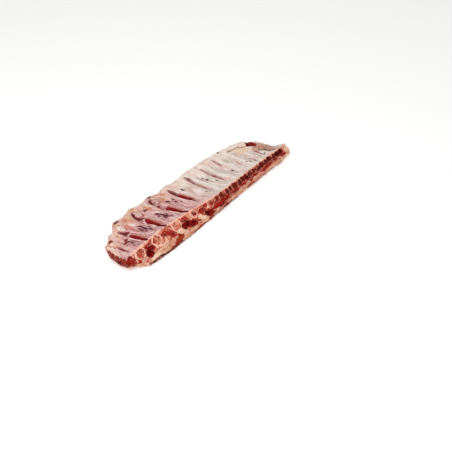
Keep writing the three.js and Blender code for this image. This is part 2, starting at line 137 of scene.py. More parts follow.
# Lumps, wrinkles and wandering edges.
WRINKLES = (Wave(3.4, 0.44, 4.0, 2.0), Wave(2.0, 0.22, 2.4, 5.0))
TIP_LUMPS = (Wave(9, 1.1, 1.0, 9.0), Wave(4.4, 0.8, 1.0, 4.0), Wave(2.6, 0.35, 1.0, 7.0))
CUT_LUMPS = (Wave(5, 0.8, 1.0, 6.0), Wave(2.6, 0.5, 1.0, 8.0))
SIDE_LUMPS = (Wave(6, 0.6, 1.0, 6.0), Wave(2.8, 0.5, 1.0, 8.0))
FAT_LUMPS = (Wave(8, 1.0, 1.0, 2.2), Wave(3.6, 0.6, 1.0, 5.5))
SKIN = (Wave(2.2, 0.1, 1.0, 11.0),)
UNDER_SCORES = (Wave(5, 0.4, 1.0, 3.0),)
SLIT_WANDER = (Wave(16, 1.0, 2.2, 3.1),)
SLIT_FRAY = (Wave(4, 0.6, 1.6, 8.4),)
CREASE_WANDER = (Wave(15, 2.0, 2.0, 7.7),)
CREASE_BREAKS = (Wave(10, 1.0, 3.0, 1.3),)
CUT_WANDER = (Wave(7, 2.6, 1.0, 5.1),)
LOIN_WANDER = (Wave(8, 4.0, 1.0, 9.2),)
TOP_EDGE_WANDER = (Wave(7, 0.9, 1.0, 4.7), Wave(3, 0.5, 1.0, 2.6))
SECTION_WANDER = (Wave(6, 0.28, 1.0, 2.9), Wave(2.6, 0.16, 1.0, 5.3))
RING_WANDER = (Wave(7, 0.12, 1.0, 6.3), Wave(3, 0.07, 1.0, 1.9))
LINE_WANDER = (Wave(15, 1.1, 1.0, 4.4),)
LOW_WANDER = (Wave(12, 2.0, 1.0, 6.6), Wave(3.4, 0.9, 1.0, 2.1))
UPPER_WANDER = (Wave(11, 3.0, 1.0, 3.7),)

# How far fine forms stand out or sink in, in millimetres.
LIP_RISE, CREASE_DEPTH, STROKE_DEPTH, CRESCENT_DEPTH, LIP_CURL = 0.5, 0.7, 0.4, 1.4, 1.4
LOBE_RISE, HOLLOW_DEPTH, PALE_RISE, SECTION_DEPTH, SECTION_RIM_RISE = 0.5, 2.2, 0.6, 0.7, 0.4
LOW_LINE_DEPTH, CHUNK_RISE, SEAM_RISE, FAT_TOP_RISE = 1.0, 0.9, 0.5, 0.5
COVERED_BONE_SHRINK, COVERED_BONE_DROP = 1.3, 1.8

# A slit's edges, and the bands beside it: how far past its edge each lies, and its half width.
# UNDER_LIP_FADE is where the painted shade under a slit's near lip fades out.
SLIT_EDGE_FADE, DULL_SLIT_BLUR, UNDER_LIP_FADE = (-0.9, 0.7), 1.4, (0.2, 2.0)
LIP_BAND, WALL_BAND, CURL_BAND, SHADE_REACH = (2.2, 2.8), (1.8, 3.8), (1.0, 2.4), 3.2

# Creases beside each rib, sunk and painted with shade: place from the rib's middle and strength.
CREASES = ((5.4, 0.8), (8.2, 1.0), (11.6, 0.7), (16.5, 0.5), (-4.4, 0.5))
# The second reach is the half width of the painted highlight over each rib.
CREASE_REACH, RIB_HIGHLIGHT_REACH = 1.5, 7

# Half width and half height of a rib bone's sawn face in either half, and its depth below the top edge.
BONE_FACE_NEAR, BONE_FACE_FAR, BONE_FACE_TOP = (8, 5.8), (5.4, 4), 1.5

# Marks on the bone side: place along, place out, reach along, reach out and strength.
PILLOWS = (
    (-164, 17, 10, 18, 0.7), (-121, 26, 11, 25, 0.9), (-75, 30, 12, 21, 0.95), (-28, 45, 8, 11, 0.7),
    (-189, 44, 9, 12, 0.5), (-93, 13, 7, 14, 0.4), (-45, 14, 7, 13, 0.4), (-74, 63, 8, 7, 0.4),
    (4, 55, 7, 10, 0.3), (18, 20, 9, 10, 0.3), (48, 40, 8, 16, 0.25), (-52, 70, 8, 9, 0.8),
    (-97, 66, 7, 10, 0.6),
)
STROKES = (
    (-165, 27, 2.4, 6, 1), (-166, 19, 2.4, 6, 1), (-170, 13, 2.0, 5, 0.8), (-167, 5, 2.0, 5, 0.7),
    (-160, 12, 1.8, 5, 0.7), (-161, 22, 1.6, 4.4, 0.6), (-120, 41, 3.2, 6, 1), (-121, 31, 3, 6, 1),
    (-115, 26, 2.2, 5, 0.9), (-119, 21, 2.6, 5, 1), (-123, 15, 2.4, 5, 0.9), (-127, 7, 2.4, 5, 0.8),
    (-128, 30, 2, 5.6, 0.8), (-126, 38, 1.8, 5, 0.7), (-113, 12, 2.2, 5, 0.8), (-132, 14, 1.6, 6.6, 0.6),
    (-75, 43, 3.4, 5.4, 1), (-73, 35, 3.4, 5.6, 1), (-68, 29, 2.8, 5.6, 0.95), (-75, 27, 3, 5.4, 1),
    (-80, 35, 2.2, 5.6, 0.8), (-81, 21, 2.6, 5, 0.9), (-71, 18, 2.8, 5.6, 1), (-65, 11, 2.2, 5, 0.8),
    (-76, 12, 1.9, 4.6, 0.7), (-26, 52, 2.2, 5.4, 0.8), (-29, 43, 2.4, 5.6, 0.85), (-25, 37, 2.4, 5, 0.9),
    (-34, 55, 3.2, 6, 1), (4, 57.5, 3, 5.6, 0.95), (46, 52, 2.4, 5, 0.95), (47, 44, 2.6, 5, 1),
    (54, 28, 2.6, 5.4, 1), (18, 22, 2.6, 4.4, 0.7), (93, 26, 2.6, 5, 1), (92, 17, 2.6, 5, 0.9),
    (127, 58, 2.6, 5, 0.7), (129, 22, 2.2, 5, 0.9), (133, 15, 2.2, 5, 0.85), (141, 12, 2.2, 6, 0.9),
    (178, 27, 3, 8, 1), (184, 20, 3.2, 8, 1), (185, 9, 3, 7, 1), (193, 28, 2.8, 8, 0.9),
    (190, 5, 2.8, 6, 1), (172, 12, 2, 7, 0.8), (-75, 65, 3.4, 5.6, 0.8), (-46, 76, 3, 5, 0.6),
    (-132, 76, 7, 4.4, 0.9), (-41, 84, 7, 4, 0.9), (118, 80, 3, 2.8, 1), (148, 77, 3, 2.4, 0.8),
    (174, 71, 3.4, 2.8, 0.9), (-97, 70, 2, 5, 0.8), (-137, 67, 2, 4, 0.6),
)
RED_MARKS = ((-170, 30, 7, 3.8, 0.9), (-164, 34, 6, 4.4, 1.0), (-179, 52, 6, 6.4, 0.9))
ORANGE_MARKS = (
    (-120, 70, 11, 10, 0.7), (-130, 58, 6, 12, 0.7), (-68, 62, 8, 9, 0.7), (-114, 60, 7, 9, 0.6),
    (-36, 64, 8, 11, 0.6), (-24, 72, 9, 8, 0.5), (-86, 57, 6, 9, 0.6), (188, 37, 10, 9, 0.8),
    (-58, 50, 6, 12, 0.5),
)
FLAP_MARKS = ((157, 54, 26, 15, 1.0), (140, 64, 12, 9, 0.7))
FOLD = ((124, 60), (129, 68), (133, 69), (149, 65), (157, 62), (164, 58), (173, 55))
FOLD_STRETCH, FOLD_HALF = (122, 176), 2.6
# Corners of the bare lean patch near the shoulder end, in clockwise order.
LEAN_PATCH = ((170, 54), (179, 71), (205, 66), (197, 47), (183, 42))
SHOULDER_MARKS = ((194, 22, 26, 36, 1.0), (177, 34, 18, 17, 0.9), (212, 30, 16, 38, 0.9))

# Bare rib ends: place along and out, reach along and out, paleness and mauve.
RIB_ENDS = ((-142, 61, 6, 8.5, 1.0, 0.0), (-93, 65, 5, 8.5, 0.6, 0.35), (-47, 69, 5, 7.5, 0.3, 0.6))
# Arcs of painted shadow round the rib ends, also sunk a little: middle, radii, first and last angle, half
# width and strength.
CRESCENTS = (
    (-142, 58, 9, 12.5, 168, 278, 3.4, 0.9), (-93, 62, 8, 10.5, 105, 262, 3.2, 1.0),
    (-46, 67, 7, 10, 95, 250, 2.8, 0.95), (-84, 66, 6, 9, -40, 40, 1.8, 0.6),
)

# Marks on the chine side: place along, depth below the chine's top edge, reaches and strength.
LOBES = (
    (-160, 5.6, 12, 3.6, 0.7), (-146, 5.4, 6, 5.4, 1.0), (-120, 7.4, 10, 5.4, 0.9),
    (-106, 12.6, 12, 5.4, 1.0), (-113, 9.8, 9, 5, 0.8), (-72, 6.4, 13, 5, 0.9), (-50, 5.6, 8, 5, 0.8),
    (-33, 8.6, 10, 5.8, 0.9), (-195, 8, 8, 9, 1.0), (-188, 13, 7, 4.4, 0.9), (-204, 9, 9, 9, 1.0),
    (-20, 5, 9, 4.4, 0.8), (-6, 7, 9, 5, 0.8), (-22, 13.5, 13, 4.6, 1.0), (2, 13, 16, 4.6, 1.0),
)
PALES = (
    (-91, 14, 11, 4, 1.0), (-42, 13.2, 8, 4, 1.0), (-36, 16, 6, 3, 0.9), (-60, 9.8, 3.6, 2.6, 0.8),
    (-17, 8.3, 3.4, 2.2, 0.7), (-202, 1.4, 5, 2, 0.9), (-191.5, 4.8, 2, 3.6, 0.9),
    (-190, 12.2, 2, 4, 0.8), (-130, 15.6, 15, 1.7, 0.9), (-146, 12, 2.4, 5, 0.9),
    (-122.5, 11.8, 2, 3.6, 0.7), (-158, 19.4, 15, 3.4, 1.0),
)
# Hollows are sunk, and their dark meat is deepened with painted shade.
HOLLOWS = (
    (-164, 14.2, 9, 4.8, 1.0), (-159, 13.2, 11, 5, 1.0), (-153, 12.2, 8, 4.6, 1.0),
    (-78, 13.6, 10, 5, 0.9), (-69, 13.8, 14, 5.6, 1.0), (-60, 14.6, 11, 5, 0.9),
    (-18, 16, 18, 3.2, 0.8), (10, 15, 20, 3, 0.7),
)
SECTIONS = (
    (-196, 2.8, 2.8, 3.4, 0.7), (9, 5, 5.8, 4.2, 0.5), (22, 5.8, 5.2, 4.2, 0.6), (34, 6, 6.6, 4.4, 1.0),
    (46, 5.2, 4.6, 3.4, 0.8), (58, 5.6, 7.4, 3.8, 0.7), (71, 6, 6.2, 4.4, 1.0), (82, 5.2, 5.2, 3.4, 0.75),
    (93, 5.8, 7.2, 4, 0.9), (105, 5.6, 5.4, 4.2, 1.0), (115, 5, 4.8, 3.4, 0.8), (125, 6, 6, 4.2, 1.0),
    (137, 5.2, 6.4, 3.8, 0.75), (149.5, 5.9, 6.4, 4.2, 1.0), (162, 5.3, 6.8, 3.8, 0.85),
    (174.5, 6.1, 6.6, 4.4, 1.0), (187, 5.6, 6.6, 4.2, 1.0), (199, 5.2, 6, 3.8, 0.95),
)

# Marks low on the chine side: place along, height above the foot, reaches and strength.
CHUNKS = (
    (-118, 3.5, 15, 6.5, 1.0), (-107, 8, 13, 7, 1.0), (-97, 11.5, 9, 5, 1.0), (-52, 5, 16, 5, 0.8),
    (-22, 7, 14, 5, 0.7), (20, 6, 16, 5, 0.7), (96, 7, 20, 4, 0.7),
)
OLIVES = (
    (-134, 8, 13, 5.4, 1.0), (-88, 7, 10, 5, 0.9), (-20, 6, 14, 4, 0.6), (60, 9, 15, 4, 0.6),
    (150, 7, 18, 4, 0.6),
)
LOW_LINE = {"height": 6.4, "half": 1.5, "stretch": (-178, -138), "soft": 6}
# LOW_EDGE_HEIGHT is how high the painted floor shade reaches up the edge that the rack rests on.
UPPER_MEAT_FOOT, UPPER_MEAT_FROM, LOW_EDGE_HEIGHT = 12, (-92, -60), 3.8

# Colours as they are seen, from 0 to 255, each after what it is for.
COLOURS = {
    "membrane_pink": ("Membrane, loin half", 204, 142, 138),
    "membrane_pale": ("Membrane, loin half where light", 238, 190, 184),
    "membrane_ivory": ("Membrane, shoulder half", 216, 194, 180),
    "membrane_white": ("Membrane, shoulder half where light", 242, 230, 222),
    "film_mauve": ("Tint in the loin half's membrane", 160, 96, 100),
    "film_olive": ("Tint in the shoulder half's membrane", 196, 180, 154),
    "film_rose": ("Pink tint in the loin half's membrane", 212, 128, 126),
    "film_blush": ("Pink tint in the shoulder half's membrane", 228, 176, 164),
    "film_milk": ("Thick white membrane", 248, 236, 226),
    "pillow_mauve": ("Meat under the membrane between ribs", 142, 76, 84),
    "pillow_lilac": ("Lighter meat under the membrane", 206, 154, 158),
    "stroke_purple": ("Dark strokes in the loin half", 88, 14, 26),
    "stroke_brown": ("Dark strokes in the shoulder half", 88, 48, 38),
    "tip_cream": ("Fat between the rib ends", 234, 198, 178),
    "tip_peach": ("Fat between the rib ends", 212, 138, 116),
    "tip_white": ("Brightest fat between the rib ends", 250, 226, 212),
    "tip_lilac": ("Thin membrane between the rib ends", 224, 182, 186),
    "tip_yellow": ("Yellowish fat between the rib ends", 222, 184, 144),
    "tip_red": ("Meat between the rib ends", 172, 80, 70),
    "tip_orange": ("Orange fat", 208, 114, 80),
    "tip_tan": ("Tan fat", 206, 144, 114),
    "tip_far_cream": ("Fat at the shoulder half's edge", 242, 226, 212),
    "tip_far_rose": ("Fat at the shoulder half's edge", 232, 196, 184),
    "flap_cream": ("Folded flap of fat", 236, 206, 176),
    "fold_olive": ("Line under the folded flap", 136, 96, 62),
    "shoulder_tan": ("Dried membrane at the shoulder end", 158, 106, 82),
    "shoulder_peach": ("Thin fat at the shoulder end", 210, 156, 130),
    "shoulder_brown": ("Dark streaks at the shoulder end", 112, 70, 56),
    # Painted highlight on the membrane over each rib.
    "band_pale": ("Membrane over a rib", 234, 182, 176),
    # Painted shade in the membrane's creases, in either half.
    "crease_pink": ("Creases in the loin half", 140, 70, 72),
    "crease_grey": ("Creases in the shoulder half", 150, 116, 102),
    # Painted highlight along the membrane's lips beside the slits.
    "lip_pale": ("Cut edge of the membrane", 250, 212, 206),
    "wall_peach": ("Far wall of a slit", 186, 104, 92),
    "slit_pink": ("Shade in the loin half's slits", 168, 84, 84),
    "slit_shade": ("Shade in the shoulder half's slits", 186, 142, 132),
    # Painted shade inside the shoulder half's narrow slits.
    "slit_brown": ("Inside of the shoulder half's slits", 112, 58, 56),
    "slit_red": ("Red meat in an open slit", 158, 20, 20),
    "lean_red": ("Bare lean meat", 138, 14, 12),
    "lean_dark": ("Bare lean meat in shade", 84, 0, 4),
    "patch_red": ("Bare lean patch near the shoulder end", 190, 34, 14),
    "cut_rust": ("Rusty parts of the cut ends", 156, 66, 50),
    "cut_brown": ("Dried brown parts of the cut ends", 124, 72, 58),
    # Wine-red meat, also the lighter part of the painted shadow beside the rib ends; then the darkest part of
    # that painted shadow.
    "wine_pink": ("Meat beside the rib ends", 158, 72, 74),
    "wine_dark": ("Darkest meat beside the rib ends", 108, 10, 20),
    "blot_brown": ("Red-brown marks", 136, 44, 30),
    "side_red": ("Red meat of the sawn face", 164, 28, 14),
    "side_pink": ("Pink meat of the sawn face", 204, 92, 72),
    "side_tan": ("Tan bone of the sawn face", 214, 124, 96),
    "side_salmon": ("Pale network of the sawn face", 246, 178, 152),
    "side_cream": ("Cream fat of the sawn face", 248, 210, 182),
    "side_far_red": ("Sawn face, shoulder half's red meat", 158, 36, 22),
    "side_far_brown": ("Sawn face, shoulder half's brown sections", 128, 34, 20),
    "side_far_dark": ("Sawn face, shoulder half's dark sections", 72, 2, 0),
    # Pale bone rims; these two tones also paint a highlight along the chine's top edge.
    "rim_salmon": ("Rims of bones", 252, 196, 174),
    "rim_pale": ("Top edge in the shoulder half", 252, 196, 176),
    "rim_far": ("Rims in the shoulder half", 226, 132, 110),
    # Dark meat with painted shade in the hollows.
    "hollow_dark": ("Dark hollows between the vertebrae", 86, 0, 0),
    "fat_band": ("Fat of the chine side", 222, 164, 134),
    "fat_peach": ("Darker fat of the chine side", 196, 118, 90),
    "fat_pale": ("Lightest fat of the chine side", 250, 212, 190),
    "fat_olive": ("Yellowish fat of the chine side", 190, 140, 92),
    # Painted shade along the edge that rests on the floor; the brown also streaks the chine side's fat, and
    # the dark also draws the low dark line.
    "low_brown": ("Edge that the rack rests on", 108, 48, 40),
    "low_dark": ("Dark parts of the edge that the rack rests on", 44, 10, 8),
    # Also darkens the torn strip of meat on the fat's chine side in patches, as painted shade.
    "chunk_red": ("Lean chunk low on the chine side", 122, 14, 4),
    "chunk_brown": ("Lighter part of the lean chunk", 168, 60, 28),
    "bone_tan": ("Sawn bone", 198, 126, 96),
    "bone_brown": ("Sawn bone next to the loin end", 164, 84, 56),
    "bone_pink": ("Ruddy part of sawn bone", 194, 96, 70),
    "bone_white": ("Bare bone ends", 240, 220, 204),
    "pore_dark": ("Marrow pores of sawn bone", 114, 24, 12),
}


def tone(red, green, blue):
    """A colour that is seen as these values from 0 to 255, as Blender stores it."""
    shares = [value / 255 for value in (red, green, blue)]
    linear = [s / 12.92 if s <= 0.04045 else ((s + 0.055) / 1.055) ** 2.4 for s in shares]
    return (*linear, 1.0)


def step(low, high, value):
    share = np.clip((value - low) / (high - low), 0, 1)
    return share * share * (3 - 2 * share)


def bump(offset, width):
    return np.where(np.abs(offset) < width, (1 + np.cos(np.pi * offset / width)) / 2, 0)


def within(low, high, soft, value):
    return step(low, low + soft, value) * (1 - step(high - soft, high, value))


def along_line(pairs, place):
    return np.interp(place, [pair[0] for pair in pairs], [pair[1] for pair in pairs])


def lean(along):
    spread = np.exp(-(((along - LEAN_MOST_AT) / LEAN_SPREAD) ** 2))
    return (LEAN_LEAST + (LEAN_MOST - LEAN_LEAST) * spread) * step(LOIN_END - 6, RIBS[0].at - 6, along)


def shoulder_share(place):
    """0 in the loin half and 1 in the shoulder half."""
    return step(-68, 55, place)


class Places:
    """Where points lie on the rack, in millimetres: along the chine edge, out from it, and up."""

    def __init__(self, points, normals):
        self.x = points[:, 0] / MM - PLAN_ORIGIN[0]
        self.y = points[:, 1] / MM - PLAN_ORIGIN[1]
        self.z = points[:, 2] / MM
        self.up = normals[:, 2]
        self.endward = normals[:, 0]
        self.along = self.x.copy()
        self.out = self.y.copy()
        for _ in range(LEAN_ROUNDS):
            fade = 1 - step(0, CHINE_LINE_REACH, self.out)
            self.out = self.y - along_line(CHINE_LINE, self.along) * fade
            ahead = np.maximum(self.out, 0)
            at_end = step(END_STEP_FROM, SHOULDER_END, self.along)
            stepped = at_end * (END_STEP * step(2, 14, self.out) + END_SKEW * ahead)
            self.along = self.x + lean(self.along) * (1 - at_end) * ahead + stepped
        self.far = shoulder_share(self.along)
        self.edge = along_line(TIP_EDGE, self.along)
        self.down = along_line(CHINE_TOP, self.along) - self.z
        self.tops = step(-0.55, -0.05, self.up) * step(-1.5, 1.2, self.out)
        self.side = step(-0.3, 0.9, -self.out)

    def waves(self, layers):
        """Smooth lumps in millimetres, stretched along the ribs."""
        height = np.zeros(len(self.x))
        for layer in layers:
            u = (self.along / layer.size + layer.seed).tolist()
            v = (self.out / (layer.size * layer.stretch) + layer.seed).tolist()
            w = (self.z / layer.size).tolist()
            height += np.array([noise.noise(place) for place in zip(u, v, w)]) * 1.5 * layer.height
        return height

    def away(self, other, mark):
        """How far points are from a mark's middle, along and in another direction, in shares of its reach."""
        x, y, reach_x, reach_y = mark
        return np.hypot((self.along - x) / reach_x, (getattr(self, other) - y) / reach_y)

    def spots(self, other, marks):
        """The strongest of soft round marks at each point."""
        strongest = np.zeros(len(self.x))
        for *mark, strength in marks:
            strongest = np.maximum(strongest, strength * (1 - step(0.25, 1.0, self.away(other, mark))))
        return strongest


def deselect_all():
    if bpy.context.object and bpy.context.object.mode != "OBJECT":
        bpy.ops.object.mode_set(mode="OBJECT")
    bpy.ops.object.select_all(action="DESELECT")


def make_active(obj, others=()):
    deselect_all()
    for chosen in (*others, obj):
        chosen.select_set(True)
    bpy.context.view_layer.objects.active = obj


def copy_of_node(node, name):
    """A copy of a solid with its doubled vertices merged."""
    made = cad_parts[node].copy()
    made.data = made.data.copy()
    made.name = name
    made.data.name = name
    made.parent = None
    for key in list(made.keys()):
        del made[key]
    made.data.materials.clear()
    bpy.context.scene.collection.objects.link(made)
    make_active(made)
    bpy.ops.object.mode_set(mode="EDIT")
    bpy.ops.mesh.select_all(action="SELECT")
    bpy.ops.mesh.remove_doubles(threshold=0.00001)
    bpy.ops.object.mode_set(mode="OBJECT")
    return made


def shape_with(obj, kind, **settings):
    """Adds one modifier and applies it."""
    make_active(obj)
    modifier = obj.modifiers.new(kind.title(), kind)
    for key, value in settings.items():
        setattr(modifier, key, value)
    bpy.ops.object.modifier_apply(modifier=modifier.name)


def remesh(obj, size):
    shape_with(obj, "REMESH", mode="VOXEL", voxel_size=size)


def points_of(obj):
    points = np.zeros(len(obj.data.vertices) * 3)
    obj.data.vertices.foreach_get("co", points)
    normals = np.zeros(len(obj.data.vertices) * 3)
    obj.data.vertices.foreach_get("normal", normals)
    return points.reshape(-1, 3), normals.reshape(-1, 3)


def places_of(obj):
    return Places(*points_of(obj))


def move_points(obj, points):
    obj.data.vertices.foreach_set("co", points.ravel())
    obj.data.update()


def push(obj, relief):
    """Moves each vertex along its normal by a relief in millimetres, within the solid's box."""
    points, normals = points_of(obj)
    moved = points + normals * relief[:, None] * MM
    margin = 0.02 * MM
    lowest = np.array(CAD_BOX[0]) + (margin, margin, 0)
    highest = np.array(CAD_BOX[1]) - margin
    move_points(obj, np.clip(moved, lowest, highest))


def shift(obj, axis, amount):
    """Moves each vertex along one axis by an amount in millimetres."""
    points, _ = points_of(obj)
    points[:, axis] += amount * MM
    move_points(obj, points)


def thin_out(obj, hidden):
    """Joins most faces that never show into fewer."""
    make_active(obj)
    obj.data.polygons.foreach_set("select", np.zeros(len(obj.data.polygons), bool))
    obj.data.edges.foreach_set("select", np.zeros(len(obj.data.edges), bool))
    obj.data.vertices.foreach_set("select", hidden)
    bpy.ops.object.mode_set(mode="EDIT")
    bpy.ops.mesh.select_mode(type="VERT")
    bpy.ops.mesh.decimate(ratio=0.12)
    bpy.ops.object.mode_set(mode="OBJECT")


def give_masks(obj, masks):
    """Stores the share of each marked place, from 0 to 1, on every vertex."""
    for name, values in masks.items():
        made = obj.data.attributes.new(name, "FLOAT", "POINT")
        made.data.foreach_set("value", np.clip(values, 0, 1).astype(np.float32))


def give_flow(obj, places):
    """The place along, out and up as an attribute in metres, for patterns that follow the ribs."""
    made = obj.data.attributes.new("flow", "FLOAT_VECTOR", "POINT")
    flow = np.stack([places.along, places.out, places.z], axis=1) * MM
    made.data.foreach_set("vector", flow.astype(np.float32).ravel())


def finish_piece(obj, material, nodes):
    obj.data.materials.append(material)
    make_active(obj)
    bpy.ops.object.shade_smooth()
    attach(obj, "root")
    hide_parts(*nodes)


def gape_of(rib, out):
    """Where a rib's slit gapes at places out along it: the middle, half width, redness and shade."""
    middle, half, red, shade = (np.zeros(len(out)) for _ in range(4))
    for opening in rib.openings:
        centre = (opening.start + opening.stop) / 2
        share = np.clip((out - centre) / (opening.stop - centre), -1, 1)
        lens = np.sqrt(1 - (share - OPENING_SKEW * (1 - share ** 2)) ** 2)
        wider = opening.gape * lens > half
        middle = np.where(wider, opening.beside + opening.lean * (out - centre), middle)
        red = np.where(wider, opening.red * step(0, 0.3, lens), red)
        shade = np.where(wider, 1 - step(-0.9, 0.2, share), shade)
        half = np.where(wider, opening.gape * lens, half)
    return middle, half, red, shade


def beside(past_middle, half, band):
    """A soft band past one edge of a slit."""
    past_edge, reach = band
    return bump(past_middle - half - past_edge, reach)


def slit_masks(places):
    """The slits: open meat, its painted shade under the near lip and towards the chine, lips that carry a
    painted highlight, far walls, shade, grooves and curled lips.
    """
    masks = {}
    wander = places.waves(SLIT_WANDER)
    frayed = places.waves(SLIT_FRAY)
    for rib in RIBS:
        middle, half, red, shade = gape_of(rib, places.out)
        across = places.along - rib.slit_at - middle + wander
        run = within(*rib.slit, 9, places.out)
        gaping = step(0.3, 2.5, half)
        blur = DULL_SLIT_BLUR * (1 - red)
        edge = np.abs(across) - half + frayed
        opened = 1 - step(SLIT_EDGE_FADE[0] - blur, SLIT_EDGE_FADE[1] + blur, edge)
        # Painted shade under the slit's near lip.
        shade_under_lip = 1 - step(*UNDER_LIP_FADE, across + half)
        drop = step(-half - 1.0, -half + 0.8, across + frayed)
        rise = 1 - step(-0.3 * half, half + 1.6, across)
        near_slit = {
            "open": red * opened,
            # The darkest meat: painted shade under the near lip and towards the chine.
            "deep": red * opened * np.maximum(shade, shade_under_lip),
            # The lip is raised in relief and painted with a highlight.
            "lip": beside(-across, half, LIP_BAND) * run,
            "wall": beside(across, half, WALL_BAND) * run * gaping * step(0.3, 1.0, red),
            "shade": bump(across, SHADE_REACH + half) * run,
            "groove": rib.cut * drop * rise * np.maximum(run, gaping),
            "curl": beside(-across, half, CURL_BAND) * run * gaping,
        }
        for name, values in near_slit.items():
            masks[name] = np.maximum(masks.get(name, 0), values)
    return masks


def crescent_mask(places):
    """Arcs of painted shadow that hug the bare rib ends."""
    strongest = np.zeros(len(places.x))
    for along, out, radius_along, radius_out, first, last, half, strength in CRESCENTS:
        offset_along = (places.along - along) / radius_along
        offset_out = (places.out - out) / radius_out
        turned = (np.degrees(np.arctan2(offset_out, offset_along)) - first) % 360
        share = turned / (last - first)
        ends = np.sqrt(np.clip(1 - (2 * share - 1) ** 2, 0, 1)) * (share < 1)
        away = np.abs(np.hypot(offset_along, offset_out) - 1) * radius_along
        arc = 1 - step(0.3, 1.2, away / (half * ends + 0.01))
        strongest = np.maximum(strongest, strength * arc)
    return strongest


def rib_end_masks(places):
    """Bare rib ends, as pale bone, mauve bone and the brown line round them, and the arcs of painted shadow
    beside.
    """
    pale, mauve, ring = (np.zeros(len(places.x)) for _ in range(3))
    for *mark, paleness, mauveness in RIB_ENDS:
        away = places.away("out", mark)
        inside = 1 - step(0.7, 1.05, away)
        pale = np.maximum(pale, paleness * inside)
        mauve = np.maximum(mauve, mauveness * inside)
        ring = np.maximum(ring, bump(away - 1.15, 0.35))
    blot = places.spots("out", RED_MARKS)
    return {"bare": pale, "mauve": mauve, "ring": ring, "arc": crescent_mask(places), "blot": blot}


def beside_ribs(places, first, fade, lines, wander=0.0):
    """Soft lines along the ribs: each line's place from the rib's middle, half width and strength."""
    strongest = np.zeros(len(places.x))
    for rib in RIBS:
        bend = rib.bend * step(*RIB_BEND_OVER, places.out)
        run = within(first, rib.end - 6, fade, places.out)
        for offset, half, strength in lines:
            across = places.along - rib.at - bend - offset + wander
            strongest = np.maximum(strongest, strength * bump(across, half) * run)
    return strongest


def crease_mask(places):
    """Thin creases in the membrane along both sides of each rib, sunk and painted with shade."""
    lines = [(offset, CREASE_REACH, strength) for offset, strength in CREASES]
    whole = beside_ribs(places, 2, 14, lines, places.waves(CREASE_WANDER))
    return whole * step(-0.3, 0.35, places.waves(CREASE_BREAKS))


def in_patch(places, corners, soft):
    """1 inside a patch with these corners, in clockwise order, and 0 outside, with a soft edge."""
    inside = np.ones(len(places.x))
    for index, (along, out) in enumerate(corners):
        next_along, next_out = corners[(index + 1) % len(corners)]
        run_along, run_out = next_along - along, next_out - out
        turned = (places.along - along) * run_out - (places.out - out) * run_along
        inside = np.minimum(inside, step(-soft, soft, turned / math.hypot(run_along, run_out)))
    return inside


def loin_cut(places):
    """The ragged cut of the loin end."""
    return 1 - step(LOIN_END + 5, LOIN_END + 9, places.along + places.waves(CUT_WANDER))


def shoulder_cut(places):
    """The slanting cut face of the shoulder end."""
    return step(0.3, 0.6, places.endward) * step(209, 215, places.along)


def section_masks(places):
    """The small sawn sections on the chine face, and the thin pale lines between them."""
    nearest = np.full(len(places.x), 9.0)
    darkness = np.zeros(len(places.x))
    uneven = places.waves(SECTION_WANDER)
    for *mark, strength in SECTIONS:
        away = places.away("down", mark) + uneven
        darkness = np.where(away < nearest, strength, darkness)
        nearest = np.minimum(nearest, away)
    return darkness * (1 - step(0.7, 1.1, nearest)), bump(nearest - 1.2, 0.2)


def from_bone_face(places, rib):
    """How far points are from the middle of a rib bone's sawn face, as shares of its uneven outline."""
    share = float(step(-95, -45, rib.at))
    wide, high = (near + (far - near) * share for near, far in zip(BONE_FACE_NEAR, BONE_FACE_FAR))
    return places.away("down", (rib.at, BONE_FACE_TOP + high, wide, high)) + places.waves(RING_WANDER)


def bone_ring(places):
    """Pale rims round the sawn rib bones, weaker in the shoulder half."""
    strongest = np.zeros(len(places.x))
    for rib in RIBS:
        strength = 1 - 0.75 * float(shoulder_share(rib.at))
        strongest = np.maximum(strongest, bump(from_bone_face(places, rib) - 1.16, 0.26) * strength)
    return strongest


def side_relief(places):
    """The rough relief of the chine side in millimetres."""
    sections, lines = section_masks(places)
    forms = LOBE_RISE * places.spots("down", LOBES) - HOLLOW_DEPTH * places.spots("down", HOLLOWS)
    forms += PALE_RISE * places.spots("down", PALES)
    sawn = SECTION_RIM_RISE * lines - SECTION_DEPTH * sections
    return places.waves(SIDE_LUMPS) + forms + places.far * sawn


def seam_fill(places):
    """How far the lips of the seam between meat and fat stand out to close it, in millimetres."""
    shown = np.maximum(places.side, loin_cut(places))
    return SEAM_RISE * shown * step(0.25, 0.8, np.abs(places.up)) * step(2.5, 5, places.z)


def meat_relief(places):
    """The fine forms of the meat in millimetres: grooves, creases, wrinkles, lumps and the cut face."""
    loin = 1 - 0.5 * places.far
    slits = slit_masks(places)
    wrinkles = places.waves(WRINKLES)
    tips = step(places.edge - 30, places.edge - 12, places.out)
    grooves = LIP_RISE * slits["lip"] - slits["groove"] - CREASE_DEPTH * crease_mask(places) * loin
    dents = STROKE_DEPTH * places.spots("out", STROKES) * (1 - tips)
    dents += CRESCENT_DEPTH * crescent_mask(places)
    wrinkled = (1 - tips) * wrinkles * loin + 0.4 * places.spots("out", PILLOWS) * wrinkles
    relief = places.tops * (grooves + wrinkled - dents)
    relief += (1 - places.side) * tips * places.waves(TIP_LUMPS) * (0.5 + 0.5 * loin)
    cut = np.maximum(loin_cut(places), shoulder_cut(places)) * (1 - places.side)
    relief += places.side * side_relief(places) + cut * places.waves(CUT_LUMPS)
    relief += seam_fill(places) * step(2, 8, places.down)
    return relief + places.waves(SKIN)


